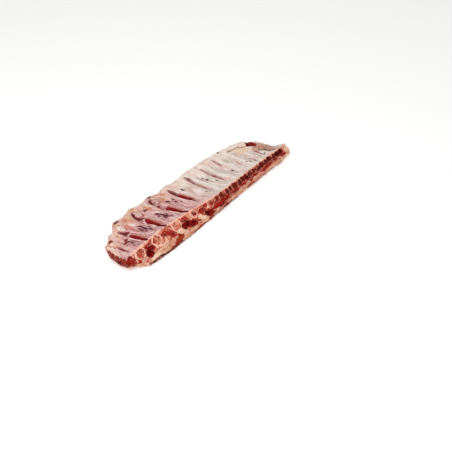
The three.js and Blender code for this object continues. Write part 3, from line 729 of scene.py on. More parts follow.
def side_masks(places):
    """Masks of the chine side, which the meat and the fat share."""
    sections, lines = section_masks(places)
    masks = {
        "side": np.ones(len(places.x)),
        "lobe": places.spots("down", LOBES),
        "hollow": places.spots("down", HOLLOWS),
        "pale": places.spots("down", PALES),
        "section": sections,
        "rim": np.maximum(bone_ring(places), lines * (0.2 + 0.5 * places.far)),
        # Painted highlight along the chine's top edge.
        "top_edge": 1 - step(1.2, 3.4, places.down + places.waves(TOP_EDGE_WANDER)),
        "loin": 1 - step(-194, -184, places.along + places.waves(LOIN_WANDER)),
        "shoulder_tip": step(204, 210, places.along),
    }
    return {name: values * places.side for name, values in masks.items()}


def top_masks(places):
    """Masks of the bone side of the meat."""
    slits = slit_masks(places)
    fold = 1 - np.clip(np.abs(places.out - along_line(FOLD, places.along)) / FOLD_HALF, 0, 1)
    masks = {
        "orange": places.spots("out", ORANGE_MARKS),
        "flap": places.spots("out", FLAP_MARKS),
        "pillow": places.spots("out", PILLOWS),
        # Painted highlight along each rib.
        "band": beside_ribs(places, 3, 14, [(0, RIB_HIGHLIGHT_REACH, 1)]),
        "crease": crease_mask(places),
        "lip": slits["lip"],
        "wall": slits["wall"],
        "slit": slits["shade"],
        "open": slits["open"],
        "deep": slits["deep"],
        "fold": fold * within(*FOLD_STRETCH, 8, places.along),
        "shoulder": places.spots("out", SHOULDER_MARKS),
        **rib_end_masks(places),
    }
    return {name: values * places.tops for name, values in masks.items()}


def give_meat_masks(obj):
    places = places_of(obj)
    give_flow(obj, places)
    give_masks(obj, side_masks(places))
    give_masks(obj, top_masks(places))
    give_masks(obj, {
        "far": places.far,
        "tips": step(places.edge - 36, places.edge - 15, places.out) * (1 - places.side),
        "stroke": places.spots("out", STROKES) * step(-0.5, 0, places.up),
        "patch": in_patch(places, LEAN_PATCH, 0.9) * step(-0.4, 0.1, places.up),
        "patch_light": step(170, 200, places.along),
        "lean": np.maximum(loin_cut(places), shoulder_cut(places)),
    })


def fat_relief(places):
    under = step(0.4, 0.8, -places.up)
    tips = step(places.edge - 16, places.edge - 6, places.out)
    relief = np.maximum(places.side, tips) * places.waves(FAT_LUMPS) * (1 - under)
    relief -= LOW_LINE_DEPTH * low_line(places) * places.side
    relief += CHUNK_RISE * places.side * places.spots("z", CHUNKS)
    relief += seam_fill(places) * step(-0.2, 0.3, places.up)
    relief += FAT_TOP_RISE * step(0.3, 0.8, places.up)
    return relief + under * step(1.5, 4.5, places.z) * places.waves(UNDER_SCORES)


def low_line(places):
    """The dark line low on the chine side near the loin end."""
    line = bump(places.z - LOW_LINE["height"] - places.waves(LINE_WANDER), LOW_LINE["half"])
    return line * within(*LOW_LINE["stretch"], LOW_LINE["soft"], places.along)


def give_fat_masks(obj):
    places = places_of(obj)
    give_flow(obj, places)
    side = places.side
    under = step(0.35, 0.75, -places.up) * (1 - step(4, 7, places.z) * side)
    low_top = LOW_EDGE_HEIGHT - places.far + places.waves(LOW_WANDER)
    torn_foot = UPPER_MEAT_FOOT + places.waves(UPPER_WANDER)
    shared = side_masks(places)
    for name in ("side", "shoulder_tip"):
        shared[name] = np.maximum(shared[name], shoulder_cut(places))
    give_masks(obj, shared)
    give_masks(obj, {
        "far": places.far,
        "under": under,
        "line": low_line(places) * side,
        "chunk": places.spots("z", CHUNKS) * side,
        "olive": places.spots("z", OLIVES) * side,
        "upper": step(torn_foot, torn_foot + 2, places.z) * step(*UPPER_MEAT_FROM, places.along) * side,
        # Painted shade along the bottom edge, where the rack rests on the floor.
        "low": (1 - step(low_top, low_top + 1.6, places.z)) * (1 - under),
        "lean": loin_cut(places) * (1 - under),
    })


def give_bone_masks(obj, rib):
    places = places_of(obj)
    give_flow(obj, places)
    away = from_bone_face(places, rib)
    give_masks(obj, {
        "far": np.full(len(away), float(step(-50, 30, rib.at))),
        "ruddy": np.full(len(away), float(rib.at < RIBS[1].at)),
        "outline": bump(away - 0.76, 0.14),
        "rim": step(0.8, 1.0, away),
        "shaft": step(2, 6, places.out),
        **rib_end_masks(places),
    })


def sink_covered(bone, rib, seed):
    """Gives the bare ends fine lumps, and draws the stretch under the membrane in and down."""
    places = places_of(bone)
    covered = within(4, rib.end - 9, 5, places.out)
    if rib.end > places.out.max() - 4:
        covered = step(4, 9, places.out)
    lumps = places.waves((Wave(2.4, 0.25, 1.0, seed),))
    push(bone, lumps * (1 - covered) - COVERED_BONE_SHRINK * covered)
    shift(bone, 2, -COVERED_BONE_DROP * covered)


def bone_copies(prefix, amount, size):
    """Copies of the bones, remeshed and swollen by an amount."""
    made = []
    for number in range(1, len(RIBS) + 1):
        copy = copy_of_node(f"rib_{number:02d}", f"{prefix}_{number:02d}")
        remesh(copy, size)
        shape_with(copy, "DISPLACE", strength=amount, mid_level=0)
        made.append(copy)
    return made


EVEN = (1, 1, 1)
ALONG_RIBS = (1, 0.35, 1)
ALONG_EDGE = (0.4, 1, 1.5)


class Patch(NamedTuple):
    """Soft patches: size in millimetres, the noise values they fade in between, strength and stretch."""
    size: float
    low: float = 0.4
    high: float = 0.62
    strength: float = 1.0
    stretch: tuple = EVEN
    warp: float = 0.0


class Fade(NamedTuple):
    """A marked place's edge: raggedness and its size in millimetres, where it fades, and strength."""
    place: str
    ragged: float
    size: float
    low: float = 0.2
    high: float = 0.7
    strength: float = 1.0
    stretch: tuple = EVEN


class Lines(NamedTuple):
    """Thin wandering lines: how far apart in millimetres, their width as a share, and strength."""
    apart: float
    width: float
    strength: float
    stretch: tuple = EVEN


class Painter:
    """Builds one material from nodes. An input may also be a patch, a fade, lines or a colour's name."""

    def __init__(self, name, colours):
        self.colours = colours
        self.material = bpy.data.materials.new(name)
        self.material.use_nodes = True
        self.tree = self.material.node_tree
        self.shader = self.tree.nodes["Principled BSDF"]

    @cached_property
    def flow(self):
        return self.node("ShaderNodeAttribute", attribute_name="flow").outputs["Vector"]

    @cached_property
    def far(self):
        """0 in the loin half and 1 in the shoulder half."""
        return self.soft("far", 0.1, 0.85)

    def node(self, kind, inputs=None, **settings):
        made = self.tree.nodes.new(kind)
        for key, value in settings.items():
            setattr(made, key, value)
        for key, value in (inputs or {}).items():
            self.fill(made.inputs[key], value)
        return made

    def fill(self, socket, value):
        makers = {Patch: self.patches, Fade: self.marked, Lines: self.lines, str: self.colour_named}
        if type(value) in makers:
            value = makers[type(value)](value)
        if isinstance(value, bpy.types.NodeSocket):
            self.tree.links.new(value, socket)
        else:
            socket.default_value = value

    def set(self, name, value):
        self.fill(self.shader.inputs[name], value)

    def colour_named(self, name):
        return getattr(self.colours, name)

    def math(self, operation, first, second=0.0):
        return self.node("ShaderNodeMath", {0: first, 1: second}, operation=operation).outputs[0]

    def both(self, first, second):
        return self.math("MULTIPLY", first, second)

    def rest(self, share):
        return self.math("SUBTRACT", 1.0, share)

    def mask(self, name):
        return self.node("ShaderNodeAttribute", attribute_name=name).outputs["Fac"]

    def smooth(self, value, low, high):
        inputs = {"Value": value, "From Min": low, "From Max": high}
        return self.node("ShaderNodeMapRange", inputs, interpolation_type="SMOOTHSTEP").outputs["Result"]

    def soft(self, name, low, high):
        """The share of a marked place, with a soft edge."""
        return self.smooth(self.mask(name), low, high)

    def noise(self, size, stretch=EVEN, warp=0.0, detail=7.0, roughness=0.62):
        """Noise from 0 to 1 with lumps of this size in millimetres, in the rack's own directions."""
        turned = self.node("ShaderNodeMapping", {"Vector": self.flow, "Scale": stretch}).outputs["Vector"]
        inputs = {"Vector": turned, "Scale": 1 / (size * MM), "Detail": detail, "Roughness": roughness,
                  "Distortion": warp}
        return self.node("ShaderNodeTexNoise", inputs).outputs["Fac"]

    def patches(self, patch):
        share = self.smooth(self.noise(patch.size, patch.stretch, patch.warp), patch.low, patch.high)
        return self.both(share, patch.strength)

    def lines(self, lines):
        """Thin lines where smooth noise passes its middle value."""
        smooth_noise = self.noise(lines.apart, lines.stretch, 0.8, 2.0)
        away = self.math("ABSOLUTE", self.math("SUBTRACT", smooth_noise, 0.5))
        line = self.rest(self.smooth(away, 0.2 * lines.width, lines.width))
        return self.both(line, lines.strength)

    def marked(self, fade):
        """The share of a marked place, with a ragged edge."""
        mask = self.mask(fade.place)
        ragged = self.both(self.math("SUBTRACT", self.noise(fade.size, fade.stretch), 0.5), 2 * fade.ragged)
        raised = self.math("ADD", mask, self.both(ragged, self.smooth(mask, 0.0, 0.3)))
        return self.both(self.smooth(raised, fade.low, fade.high), fade.strength)

    def mix(self, share, below, above, blend="MIX"):
        inputs = {0: share, 6: below, 7: above}
        return self.node("ShaderNodeMix", inputs, data_type="RGBA", blend_type=blend).outputs[2]

    def layers(self, colour, layers):
        """A colour with other tones laid over it, one after the other."""
        for share, above in layers:
            colour = self.mix(share, colour, above)
        return colour

    def set_grained(self, colour, grain, amount):
        """Sets a base colour made darker and lighter by a grain."""
        shade = self.math("ADD", 1.0, self.both(self.math("SUBTRACT", grain, 0.5), 2 * amount))
        self.set("Base Color", self.mix(1.0, colour, shade, "MULTIPLY"))

    def set_roughness(self, pattern, spread, lowest):
        self.set("Roughness", self.math("ADD", self.both(pattern, spread), lowest))

    def raise_by(self, height, distance, strength):
        inputs = {"Height": height, "Distance": distance * MM, "Strength": strength}
        self.set("Normal", self.node("ShaderNodeBump", inputs).outputs["Normal"])


def paint_meat(colours):
    painter = Painter("meat", colours)
    colour = membrane_colour(painter)
    colour = tip_colour(painter, colour)
    colour = slit_colour(painter, colour)
    patch_light = painter.both(painter.mask("patch_light"), Patch(7, 0.3, 0.56, stretch=(0.6, 1, 1)))
    colour = painter.layers(colour, (
        (Fade("patch", 0.3, 3, 0.3, 0.6), painter.mix(patch_light, "lean_dark", "patch_red")),
        (Fade("lean", 0.5, 3.4, 0.35, 0.6), lean_with_streaks(painter)),
        (painter.soft("side", 0.35, 0.65), side_colour(painter)),
    ))
    painter.set_grained(colour, painter.noise(0.9, (1, 0.45, 1)), 0.3)
    set_wet_finish(painter)
    return painter.material


def membrane_colour(painter):
    """The thin membrane: pink and mauve in the loin half, ivory in the shoulder half, with painted shade in
    its creases and a painted highlight over each rib.
    """
    far = painter.far
    pale = painter.patches(Patch(15, 0.36, 0.62, stretch=(1, 0.5, 1)))
    near_tone = painter.mix(pale, "membrane_pink", "membrane_pale")
    far_tone = painter.mix(pale, "membrane_ivory", "membrane_white")
    pillow_tone = painter.mix(Patch(4, 0.36, 0.62, stretch=(1, 0.5, 1)), "pillow_mauve", "pillow_lilac")
    crease_shade_tone = painter.mix(far, "crease_pink", "crease_grey")
    veins = painter.both(Lines(9, 0.024, 0.5, (1.2, 0.2, 1)), painter.rest(painter.both(far, 0.6)))
    return painter.layers(painter.mix(far, near_tone, far_tone), (
        (Patch(11, 0.5, 0.68, 0.8, (1, 0.3, 1), 0.4), painter.mix(far, "film_mauve", "film_olive")),
        (Patch(14, 0.5, 0.68, 0.8, (1, 0.35, 1.3), 0.3), painter.mix(far, "film_rose", "film_blush")),
        (Patch(9, 0.52, 0.7, 0.9, (1, 0.35, 0.7), 0.5), "film_milk"),
        (Fade("pillow", 0.6, 5, 0.12, 0.8, 0.85), pillow_tone),
        # Painted highlight over each rib.
        (Fade("band", 0.4, 6, 0.3, 0.9, 0.5, (1, 0.3, 1)), painter.mix(far, "band_pale", "membrane_white")),
        (Lines(7, 0.03, 0.55, (1, 0.16, 1)), "film_milk"),
        (veins, crease_shade_tone),
        # Painted shade in the creases.
        (Fade("crease", 0.4, 4, 0.2, 0.7, 0.75, (1, 0.4, 1)), crease_shade_tone),
    ))


def tip_colour(painter, colour):
    """Lumpy cream and peach fat between the rib ends, and the folded flap at the shoulder end."""
    peach = painter.patches(Patch(9, 0.44, 0.64, stretch=(1, 0.8, 1), warp=0.4))
    near_cream = painter.mix(peach, "tip_cream", "tip_peach")
    far_cream = painter.mix(peach, "tip_far_cream", "tip_far_rose")
    cream = painter.mix(painter.far, near_cream, far_cream)
    near_tips = painter.both(painter.mask("tips"), painter.rest(painter.far))
    return painter.layers(colour, (
        (Fade("tips", 0.5, 8, 0.25, 0.85, 0.9), cream),
        (painter.both(Patch(13, 0.46, 0.6, 0.8, (1, 0.6, 1), 0.4), near_tips), "tip_lilac"),
        (painter.both(Patch(10, 0.5, 0.62, 0.9, (1, 0.7, 1.2), 0.6), near_tips), "tip_white"),
        (painter.both(Patch(9, 0.5, 0.63, 0.9, (1, 0.7, 1), 0.5), near_tips), "tip_yellow"),
        (painter.both(Patch(5, 0.53, 0.65, 0.8, (1, 0.6, 1), 0.6), near_tips), "tip_red"),
        (Fade("flap", 0.5, 8, 0.2, 0.8, 0.8), "flap_cream"),
        (Fade("shoulder", 0.5, 6, 0.1, 0.85, 0.85, (1, 0.5, 1)), shoulder_tone(painter)),
        (Fade("orange", 0.8, 4, 0.2, 0.8, 0.85), painter.mix(peach, "tip_orange", "tip_tan")),
        (Fade("fold", 0.3, 3, 0.25, 0.85, 0.9), "fold_olive"),
    ))


def shoulder_tone(painter):
    """Dried tan membrane with peach fat and cream streaks."""
    peach = Patch(7, 0.36, 0.58, stretch=(1, 0.35, 1), warp=0.4)
    return painter.layers(painter.mix(peach, "shoulder_tan", "shoulder_peach"), (
        (Patch(5, 0.52, 0.66, 0.8, (1, 0.3, 1), 0.4), "flap_cream"),
        (Patch(6, 0.55, 0.66, 0.6, (1, 0.3, 1)), "shoulder_brown"),
    ))


def slit_colour(painter, colour):
    """Slits with a painted highlight on their lips, the red meat in them with painted shade, dark marks and
    the bare rib ends.
    """
    dull = painter.rest(painter.soft("open", 0.45, 0.75))
    open_meat_and_shade = painter.layers("slit_red", (
        (Patch(3, 0.38, 0.64, 0.8, (1, 0.4, 1)), "lean_red"),
        (Patch(5, 0.5, 0.66, 0.5, (1, 0.4, 1)), "wine_pink"),
        # Painted shade under the near lip and towards the chine.
        (painter.soft("deep", 0.15, 0.9), "lean_dark"),
        (Lines(3, 0.03, 0.3, (1, 0.25, 1)), "side_pink"),
        # Painted shade inside slits that open little.
        (painter.both(dull, 0.85), "slit_brown"),
    ))
    shade_tone = painter.mix(painter.far, "slit_pink", "slit_shade")
    colour = painter.layers(colour, (
        (Fade("wall", 0.5, 4, 0.2, 0.9, 0.7, (1, 0.5, 1)), "wall_peach"),
        # Painted highlight on the lips.
        (Fade("lip", 0.3, 5, 0.25, 0.8, 0.8, (1, 0.4, 1)), "lip_pale"),
        (Fade("slit", 0.4, 4, 0.2, 1.0, 0.8, (1, 0.35, 1)), shade_tone),
    ))
    return painter.layers(rib_end_colour(painter, colour), (
        (Fade("open", 0.3, 3, 0.12, 0.6, 1.0, (1, 0.45, 1)), open_meat_and_shade),
        (Fade("blot", 0.6, 2.6, 0.25, 0.65), "blot_brown"),
        (stroke_share(painter), painter.mix(painter.far, "stroke_purple", "stroke_brown")),
    ))


def stroke_share(painter):
    """Dark strokes, broken up by a grain that runs along the ribs."""
    stroke = painter.mask("stroke")
    pillow = painter.mask("pillow")
    lift = painter.math("ADD", painter.both(stroke, 0.28), painter.both(pillow, 0.07))
    raised = painter.math("ADD", painter.noise(3.6, (1, 0.36, 1)), lift)
    near = painter.smooth(painter.math("MAXIMUM", stroke, painter.both(pillow, 0.8)), 0.02, 0.24)
    return painter.both(painter.both(near, painter.smooth(raised, 0.55, 0.69)), 0.95)


def rib_end_colour(painter, colour):
    """Bare rib ends with brown rings and arcs of painted wine-red shadow beside them."""
    mottle = painter.patches(Patch(3, 0.4, 0.66, stretch=(1, 0.7, 1)))
    mauve_tone = painter.mix(mottle, "pillow_lilac", "pillow_mauve")
    white_tone = painter.mix(painter.both(mottle, 0.7), "bone_white", "pillow_lilac")
    end_tone = painter.mix(painter.soft("mauve", 0.1, 0.9), white_tone, mauve_tone)
    end_mask = painter.math("MAXIMUM", painter.mask("bare"), painter.mask("mauve"))
    wine = painter.mix(painter.soft("arc", 0.35, 0.95), "wine_pink", "wine_dark")
    return painter.layers(colour, (
        (painter.both(Fade("ring", 0.7, 3, 0.2, 0.9, 0.9), Patch(9, 0.4, 0.56)), "wine_pink"),
        (painter.smooth(end_mask, 0.05, 0.8), end_tone),
        # Painted shadow beside the rib ends.
        (Fade("arc", 0.5, 3, 0.1, 0.6, 0.95, (1, 0.6, 1)), wine),
    ))


def lean_with_streaks(painter):
    """Lean meat with pale streaks of fat."""
    return painter.layers("lean_dark", (
        (Patch(9, 0.36, 0.6), "lean_red"),
        (Patch(14, 0.47, 0.62, 0.9), "cut_rust"),
        (Patch(11, 0.52, 0.66, 0.7, (1, 1, 0.6), 1.0), "cut_brown"),
        (Lines(11, 0.03, 0.28, (1, 1, 0.7)), "side_salmon"),
    ))


def side_colour(painter):
    """The sawn chine: red meat in a pale network, with bone rims, dark hollows with painted shade, and a
    painted highlight along the top edge.
    """
    far = painter.far
    near = painter.rest(far)
    dark = painter.patches(Patch(6, 0.38, 0.62))
    near_meat = painter.mix(dark, "side_pink", "side_red")
    far_meat = painter.mix(dark, "side_far_red", "side_far_brown")
    network = painter.math("MAXIMUM", Lines(13, 0.05, 0.6), Patch(7, 0.52, 0.64, 0.95))
    network = painter.both(network, painter.math("SUBTRACT", 0.9, painter.both(far, 0.3)))
    loin_meat = painter.mix(dark, "side_red", "lean_dark")
    lobe_tone = painter.mix(Patch(6, 0.46, 0.66), "side_red", "side_far_dark")
    section_tone = painter.mix(painter.soft("section", 0.45, 0.95), "side_far_brown", "side_far_dark")
    return painter.layers(painter.mix(far, near_meat, far_meat), (
        (painter.both(Patch(8, 0.46, 0.64, 0.8, warp=0.8), near), "side_tan"),
        (network, "side_salmon"),
        (Fade("loin", 0.5, 5, 0.3, 0.6), painter.mix(network, loin_meat, "side_pink")),
        (Fade("lobe", 0.7, 4, 0.18, 0.55, 0.95), lobe_tone),
        (painter.both(Patch(4, 0.54, 0.68, 0.6), near), "side_salmon"),
        (Fade("pale", 0.6, 3, 0.2, 0.65, 0.9), "side_cream"),
        (Fade("section", 0.5, 3, 0.15, 0.5), section_tone),
        (Fade("rim", 0.4, 2.6, 0.2, 0.7, 0.95), painter.mix(far, "rim_salmon", "rim_far")),
        (Patch(2.2, 0.56, 0.68, 0.6), "pore_dark"),
        # Painted highlight along the top edge.
        (Fade("top_edge", 0.4, 3, 0.25, 0.7, 0.92), painter.mix(far, "rim_salmon", "rim_pale")),
        *hollows_and_tip(painter),
    ))


def hollows_and_tip(painter):
    """Layers that the meat's and the fat's chine faces share: dark hollows with painted shade and the mottled
    far tip.
    """
    tip_tone = painter.layers(painter.mix(Patch(5, 0.4, 0.6, warp=0.6), "side_cream", "tip_tan"), (
        (Patch(7, 0.53, 0.64, 0.85, warp=0.6), "side_pink"),
        (Patch(4, 0.56, 0.66, 0.7), "blot_brown"),
    ))
    # Hollows: dark meat with painted shade.
    hollow_tone = painter.mix(Patch(5, 0.44, 0.64, 0.9), "hollow_dark", "side_red")
    return (
        (Fade("hollow", 0.4, 4, 0.2, 0.6), hollow_tone),
        (Fade("shoulder_tip", 0.5, 5, 0.25, 0.75), tip_tone),
    )


def set_wet_finish(painter):
    painter.set_roughness(painter.noise(7, (1, 0.7, 1)), 0.4, 0.22)
    painter.set("Specular IOR Level", 0.08)
    painter.set("Subsurface Weight", 0.06)
    painter.set("Subsurface Scale", 0.001)
    painter.set("Subsurface Radius", (1.0, 0.45, 0.35))
    wrinkles = painter.noise(2.4, ALONG_RIBS)
    fibres = painter.noise(0.9, (1, 0.4, 1))
    painter.raise_by(painter.math("ADD", wrinkles, painter.both(fibres, 0.5)), 0.8, 0.7)


def paint_fat(colours):
    painter = Painter("fat", colours)
    cloud = painter.patches(Patch(8, 0.38, 0.62, stretch=ALONG_EDGE))
    near_rim = painter.mix(cloud, "tip_cream", "tip_peach")
    far_rim = painter.mix(cloud, "tip_far_cream", "tip_far_rose")
    colour = painter.layers(painter.mix(painter.far, near_rim, far_rim), (
        (painter.soft("side", 0.3, 0.7), fat_side_colour(painter, cloud)),
        (painter.soft("under", 0.3, 0.7), underside_colour(painter)),
        # Painted shade along the bottom edge, where the rack rests on the floor.
        (Fade("low", 0.35, 5, 0.15, 0.5), painter.mix(cloud, "low_brown", "low_dark")),
        (Fade("line", 0.25, 5, 0.15, 0.6, 0.95), "low_dark"),
        (Fade("lean", 0.5, 3.4, 0.35, 0.65), lean_with_streaks(painter)),
    ))
    painter.set_grained(colour, painter.noise(1.0), 0.25)
    set_wet_finish(painter)
    return painter.material


def underside_colour(painter):
    """Cream fat with meat showing through it."""
    meat = painter.mix(Patch(5, 0.4, 0.65), "lean_red", "side_red")
    return painter.layers(painter.mix(Patch(12, 0.38, 0.62), "tip_far_cream", "tip_cream"), (
        (Patch(34, 0.48, 0.58, 0.85, (1, 0.8, 1)), meat),
        (Lines(14, 0.03, 0.5), "side_pink"),
    ))


def fat_side_colour(painter, cloud):
    """The fat of the chine side, with ruddy streaks, an olive area, chunks of lean, and a torn strip of meat
    darkened in patches with painted shade.
    """
    ruddy = painter.patches(Patch(7, 0.5, 0.66, 0.8, ALONG_EDGE, 0.8))
    # Darker patches in the torn strip of meat are painted shade.
    upper_meat_and_shade = painter.mix(cloud, "side_far_red", "chunk_red")
    upper_tone = painter.mix(painter.both(ruddy, 0.7), upper_meat_and_shade, "side_salmon")
    chunk_tone = painter.mix(Patch(6, 0.4, 0.62, stretch=ALONG_EDGE), "chunk_red", "chunk_brown")
    loin_share = painter.both(Patch(7, 0.4, 0.6), Fade("loin", 0.5, 5, 0.3, 0.6))
    return painter.layers(painter.mix(cloud, "fat_band", "fat_peach"), (
        (Patch(5, 0.46, 0.64, 0.9, ALONG_EDGE, 0.8), "fat_pale"),
        (ruddy, "side_pink"),
        (Lines(8, 0.03, 0.5, ALONG_EDGE), "low_brown"),
        (Fade("olive", 0.6, 5, 0.2, 0.8, 0.9), painter.mix(cloud, "fat_olive", "fat_band")),
        (Fade("upper", 0.7, 5, 0.3, 0.65), upper_tone),
        (Fade("chunk", 0.7, 5, 0.18, 0.6), chunk_tone),
        (Fade("pale", 0.6, 3, 0.2, 0.65, 0.9), "side_cream"),
        (Fade("lobe", 0.7, 4, 0.25, 0.6), "side_red"),
        (loin_share, painter.mix(cloud, "side_red", "lean_dark")),
        *hollows_and_tip(painter),
    ))


def paint_bone(colours):
    """Spongy sawn bone with red pores and a pale rim, and the bare cream outer face."""
    painter = Painter("bone", colours)
    far = painter.mask("far")
    near = painter.rest(far)
    cloud = painter.patches(Patch(4, 0.38, 0.64))
    tan = painter.mix(painter.mask("ruddy"), "bone_tan", "bone_brown")
    near_tone = painter.mix(cloud, tan, "bone_pink")
    far_tone = painter.mix(cloud, "side_far_dark", "side_far_brown")
    outer = painter.mix(Patch(8, 0.4, 0.62, stretch=(1, 0.8, 1)), "tip_cream", "tip_peach")
    # The outer face also carries the painted shadow arcs beside the rib ends.
    outer = painter.mix(Fade("blot", 0.6, 2.6, 0.3, 0.6), rib_end_colour(painter, outer), "blot_brown")
    colour = painter.layers(painter.mix(far, near_tone, far_tone), (
        (Patch(2.0, 0.5, 0.68, 0.85), "pore_dark"),
        (painter.both(Patch(2.6, 0.55, 0.7, 0.7), near), "fat_pale"),
        (painter.both(Fade("outline", 0.8, 3, 0.2, 0.9, 0.9), near), "pore_dark"),
        (Fade("rim", 0.5, 2.4, 0.3, 0.8, 0.9), painter.mix(far, "rim_salmon", "rim_far")),
        (painter.soft("shaft", 0.3, 0.7), outer),
    ))
    painter.set_grained(colour, painter.noise(0.8), 0.3)
    painter.set_roughness(cloud, 0.2, 0.46)
    painter.set("Specular IOR Level", 0.2)
    painter.raise_by(painter.noise(1.3), 0.6, 0.7)
    return painter.material


def colour_property(name, description, *shown):
    return bpy.props.FloatVectorProperty(
        name=name, description=description, subtype="COLOR", size=4, min=0, max=1, default=tone(*shown))


def length_property(name, description, millimetres):
    return bpy.props.FloatProperty(
        name=name, description=description, subtype="DISTANCE", unit="LENGTH", min=0,
        default=millimetres * MM, precision=5)


def number_property(name, description, value, unit="NONE"):
    return bpy.props.FloatProperty(name=name, description=description, default=value, unit=unit)


def angle_property(name, description, degrees):
    return bpy.props.FloatProperty(
        name=name, description=description, subtype="ANGLE", default=math.radians(degrees))


class RackSizes(bpy.types.PropertyGroup):
    """Sizes of the modelled surfaces."""
    surface_step: length_property("Surface step", "Spacing of the meat's and fat's surface points", 1.05)
    bone_step: length_property("Bone step", "Spacing of the bones' surface points", 0.8)
    plug_growth: length_property("Plug growth", "How far the filling of each bone channel grows", 0.36)
    bone_growth: length_property("Bone growth", "How far each bone stands proud of its channel", 0.55)
    smoothing: bpy.props.IntProperty(
        name="Smoothing", description="Rounds of smoothing that blend the solid's facets", min=0, default=9)


class RackColours(bpy.types.PropertyGroup):
    """Colours of the meat, the fat and the bones, each named after its key."""
    __annotations__ = {
        key: colour_property(key.replace("_", " ").capitalize(), *row) for key, row in COLOURS.items()
    }


class StageSettings(bpy.types.PropertyGroup):
    """Floor, light and camera."""
    floor_size: length_property("Floor size", "Side of the floor", 4000)
    floor_colour: colour_property("Floor", "Pale floor", 252, 252, 251)
    floor_glow: number_property("Floor glow", "Evens out the floor's shade", 0.2)
    sky_strength: number_property("Sky", "Strength of the even light", 0.56)
    key_power: number_property("Key light", "Power of the large lamp", 14.5, "POWER")
    key_size: length_property("Key light size", "Side of the large lamp", 1200)
    key_place: bpy.props.FloatVectorProperty(
        name="Key light place", description="Where the large lamp stands", subtype="TRANSLATION",
        default=(-0.75, -0.35, 1.5))
    lens: number_property("Lens", "Focal length", 50, "CAMERA")
    distance: length_property("Camera distance", "From the point looked at", 1097)
    azimuth: angle_property("Azimuth", "Camera's side", -49.3)
    elevation: angle_property("Elevation", "Camera's height angle", 42)
    target: bpy.props.FloatVectorProperty(
        name="Looked at", description="Point at the middle of the picture", subtype="TRANSLATION",
        default=(-0.0237, -0.085, 0))


def facing_back(direction):
    """The rotation of a lamp or camera that looks back along a direction."""
    return direction.to_track_quat("Z", "Y").to_euler()


def add_floor(stage):
    just_below = (0, 0, -0.2 * MM)
    bpy.ops.mesh.primitive_plane_add(size=stage.floor_size, location=just_below)
    floor = bpy.context.object
    floor.name = "floor"
    painter = Painter("floor", stage)
    painter.set("Base Color", "floor_colour")
    painter.set("Roughness", 0.8)
    painter.set("Specular IOR Level", 0.1)
    painter.set("Emission Color", "floor_colour")
    painter.set("Emission Strength", stage.floor_glow)
    floor.data.materials.append(painter.material)


def add_light(stage):
    """An even white sky and one large lamp."""
    world = bpy.data.worlds.new("sky")
    world.use_nodes = True
    background = world.node_tree.nodes["Background"]
    background.inputs["Color"].default_value = (1, 1, 1, 1)
    background.inputs["Strength"].default_value = stage.sky_strength
    bpy.context.scene.world = world
    place = Vector(stage.key_place)
    bpy.ops.object.light_add(type="AREA", location=place, rotation=facing_back(place))
    key = bpy.context.object
    key.name = "key_light"
    key.data.size = stage.key_size
    key.data.energy = stage.key_power


def add_camera(stage):
    back = Vector((
        math.sin(stage.azimuth) * math.cos(stage.elevation),
        -math.cos(stage.azimuth) * math.cos(stage.elevation),
        math.sin(stage.elevation)))
    place = Vector(stage.target) + back * stage.distance
    bpy.ops.object.camera_add(location=place, rotation=facing_back(back))
    camera = bpy.context.object
    camera.name = "camera"
    camera.data.lens = stage.lens
    camera.data.sensor_width = 36
    bpy.context.scene.camera = camera


class OBJECT_OT_rack_meat(bpy.types.Operator):
    """Models the meat from its solid and the filled bone channels"""
    bl_idname = "object.rack_meat"
    bl_label = "Meat"

    def execute(self, context):
        sizes = context.scene.rack_sizes
        meat = copy_of_node("meat", "rack_meat")
        make_active(meat, bone_copies("plug", sizes.plug_growth, sizes.bone_step))
        bpy.ops.object.join()
        remesh(meat, sizes.surface_step)
        shape_with(meat, "SMOOTH", factor=0.5, iterations=sizes.smoothing)
        push(meat, meat_relief(places_of(meat)))
        places = places_of(meat)
        shift(meat, 0, LIP_CURL * slit_masks(places)["curl"] * places.tops)
        places = places_of(meat)
        thin_out(meat, (places.up < -0.55) & (places.out > -6) & (places.out < places.edge - 10))
        give_meat_masks(meat)
        finish_piece(meat, paint_meat(context.scene.rack_colours), ["meat"])
        return {"FINISHED"}


class OBJECT_OT_rack_fat(bpy.types.Operator):
    """Models the fat under the meat from its solid"""
    bl_idname = "object.rack_fat"
    bl_label = "Fat"

    def execute(self, context):
        sizes = context.scene.rack_sizes
        fat = copy_of_node("fat_cap", "rack_fat")
        remesh(fat, sizes.surface_step)
        shape_with(fat, "SMOOTH", factor=0.5, iterations=sizes.smoothing)
        places = places_of(fat)
        push(fat, fat_relief(places))
        thin_out(fat, (places.up > 0.55) & (places.out > -12) & (places.out < places.edge - 8))
        give_fat_masks(fat)
        finish_piece(fat, paint_fat(context.scene.rack_colours), ["fat_cap"])
        return {"FINISHED"}


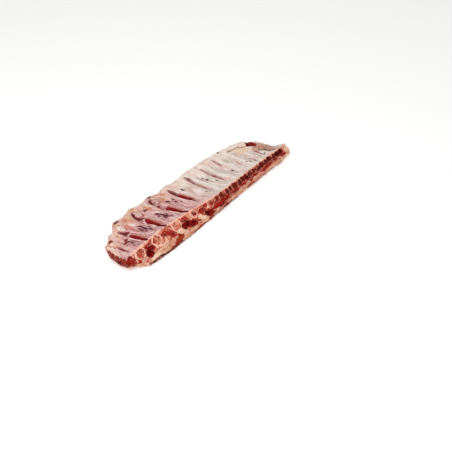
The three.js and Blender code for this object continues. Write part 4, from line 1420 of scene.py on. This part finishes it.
class OBJECT_OT_rack_bones(bpy.types.Operator):
    """Models each rib bone from its solid, with a sawn face and a bare tip"""
    bl_idname = "object.rack_bones"
    bl_label = "Bones"

    def execute(self, context):
        sizes = context.scene.rack_sizes
        material = paint_bone(context.scene.rack_colours)
        for index, bone in enumerate(bone_copies("bone", sizes.bone_growth, sizes.bone_step)):
            sink_covered(bone, RIBS[index], index)
            give_bone_masks(bone, RIBS[index])
            finish_piece(bone, material, [f"rib_{index + 1:02d}"])
        return {"FINISHED"}


class OBJECT_OT_rack_stage(bpy.types.Operator):
    """Adds the pale floor, the light and the camera"""
    bl_idname = "object.rack_stage"
    bl_label = "Stage"

    def execute(self, context):
        stage = context.scene.rack_stage
        deselect_all()
        add_floor(stage)
        add_light(stage)
        add_camera(stage)
        context.scene.view_settings.view_transform = "Standard"
        return {"FINISHED"}


class VIEW3D_PT_rack(bpy.types.Panel):
    """Lists the steps and settings of the rack"""
    bl_label = "Rib rack"
    bl_idname = "VIEW3D_PT_rack"
    bl_space_type = "VIEW_3D"
    bl_region_type = "UI"
    bl_category = "Rib rack"

    def draw(self, context):
        for operator in OPERATORS:
            self.layout.operator(operator.bl_idname)
        for group in SETTINGS:
            settings = getattr(context.scene, group)
            box = self.layout.box()
            for name in settings.bl_rna.properties.keys():
                if name not in ("rna_type", "name"):
                    box.prop(settings, name)


SETTINGS = {"rack_sizes": RackSizes, "rack_colours": RackColours, "rack_stage": StageSettings}
OPERATORS = (OBJECT_OT_rack_meat, OBJECT_OT_rack_fat, OBJECT_OT_rack_bones, OBJECT_OT_rack_stage)


def register():
    for name, settings in SETTINGS.items():
        bpy.utils.register_class(settings)
        setattr(bpy.types.Scene, name, bpy.props.PointerProperty(type=settings))
    for kind in (*OPERATORS, VIEW3D_PT_rack):
        bpy.utils.register_class(kind)


def unregister():
    for kind in (VIEW3D_PT_rack, *reversed(OPERATORS)):
        bpy.utils.unregister_class(kind)
    for name, settings in SETTINGS.items():
        delattr(bpy.types.Scene, name)
        bpy.utils.unregister_class(settings)


def main():
    register()
    bpy.ops.object.rack_meat()
    bpy.ops.object.rack_fat()
    bpy.ops.object.rack_bones()
    bpy.ops.object.rack_stage()


if __name__ == "__main__":
    main()
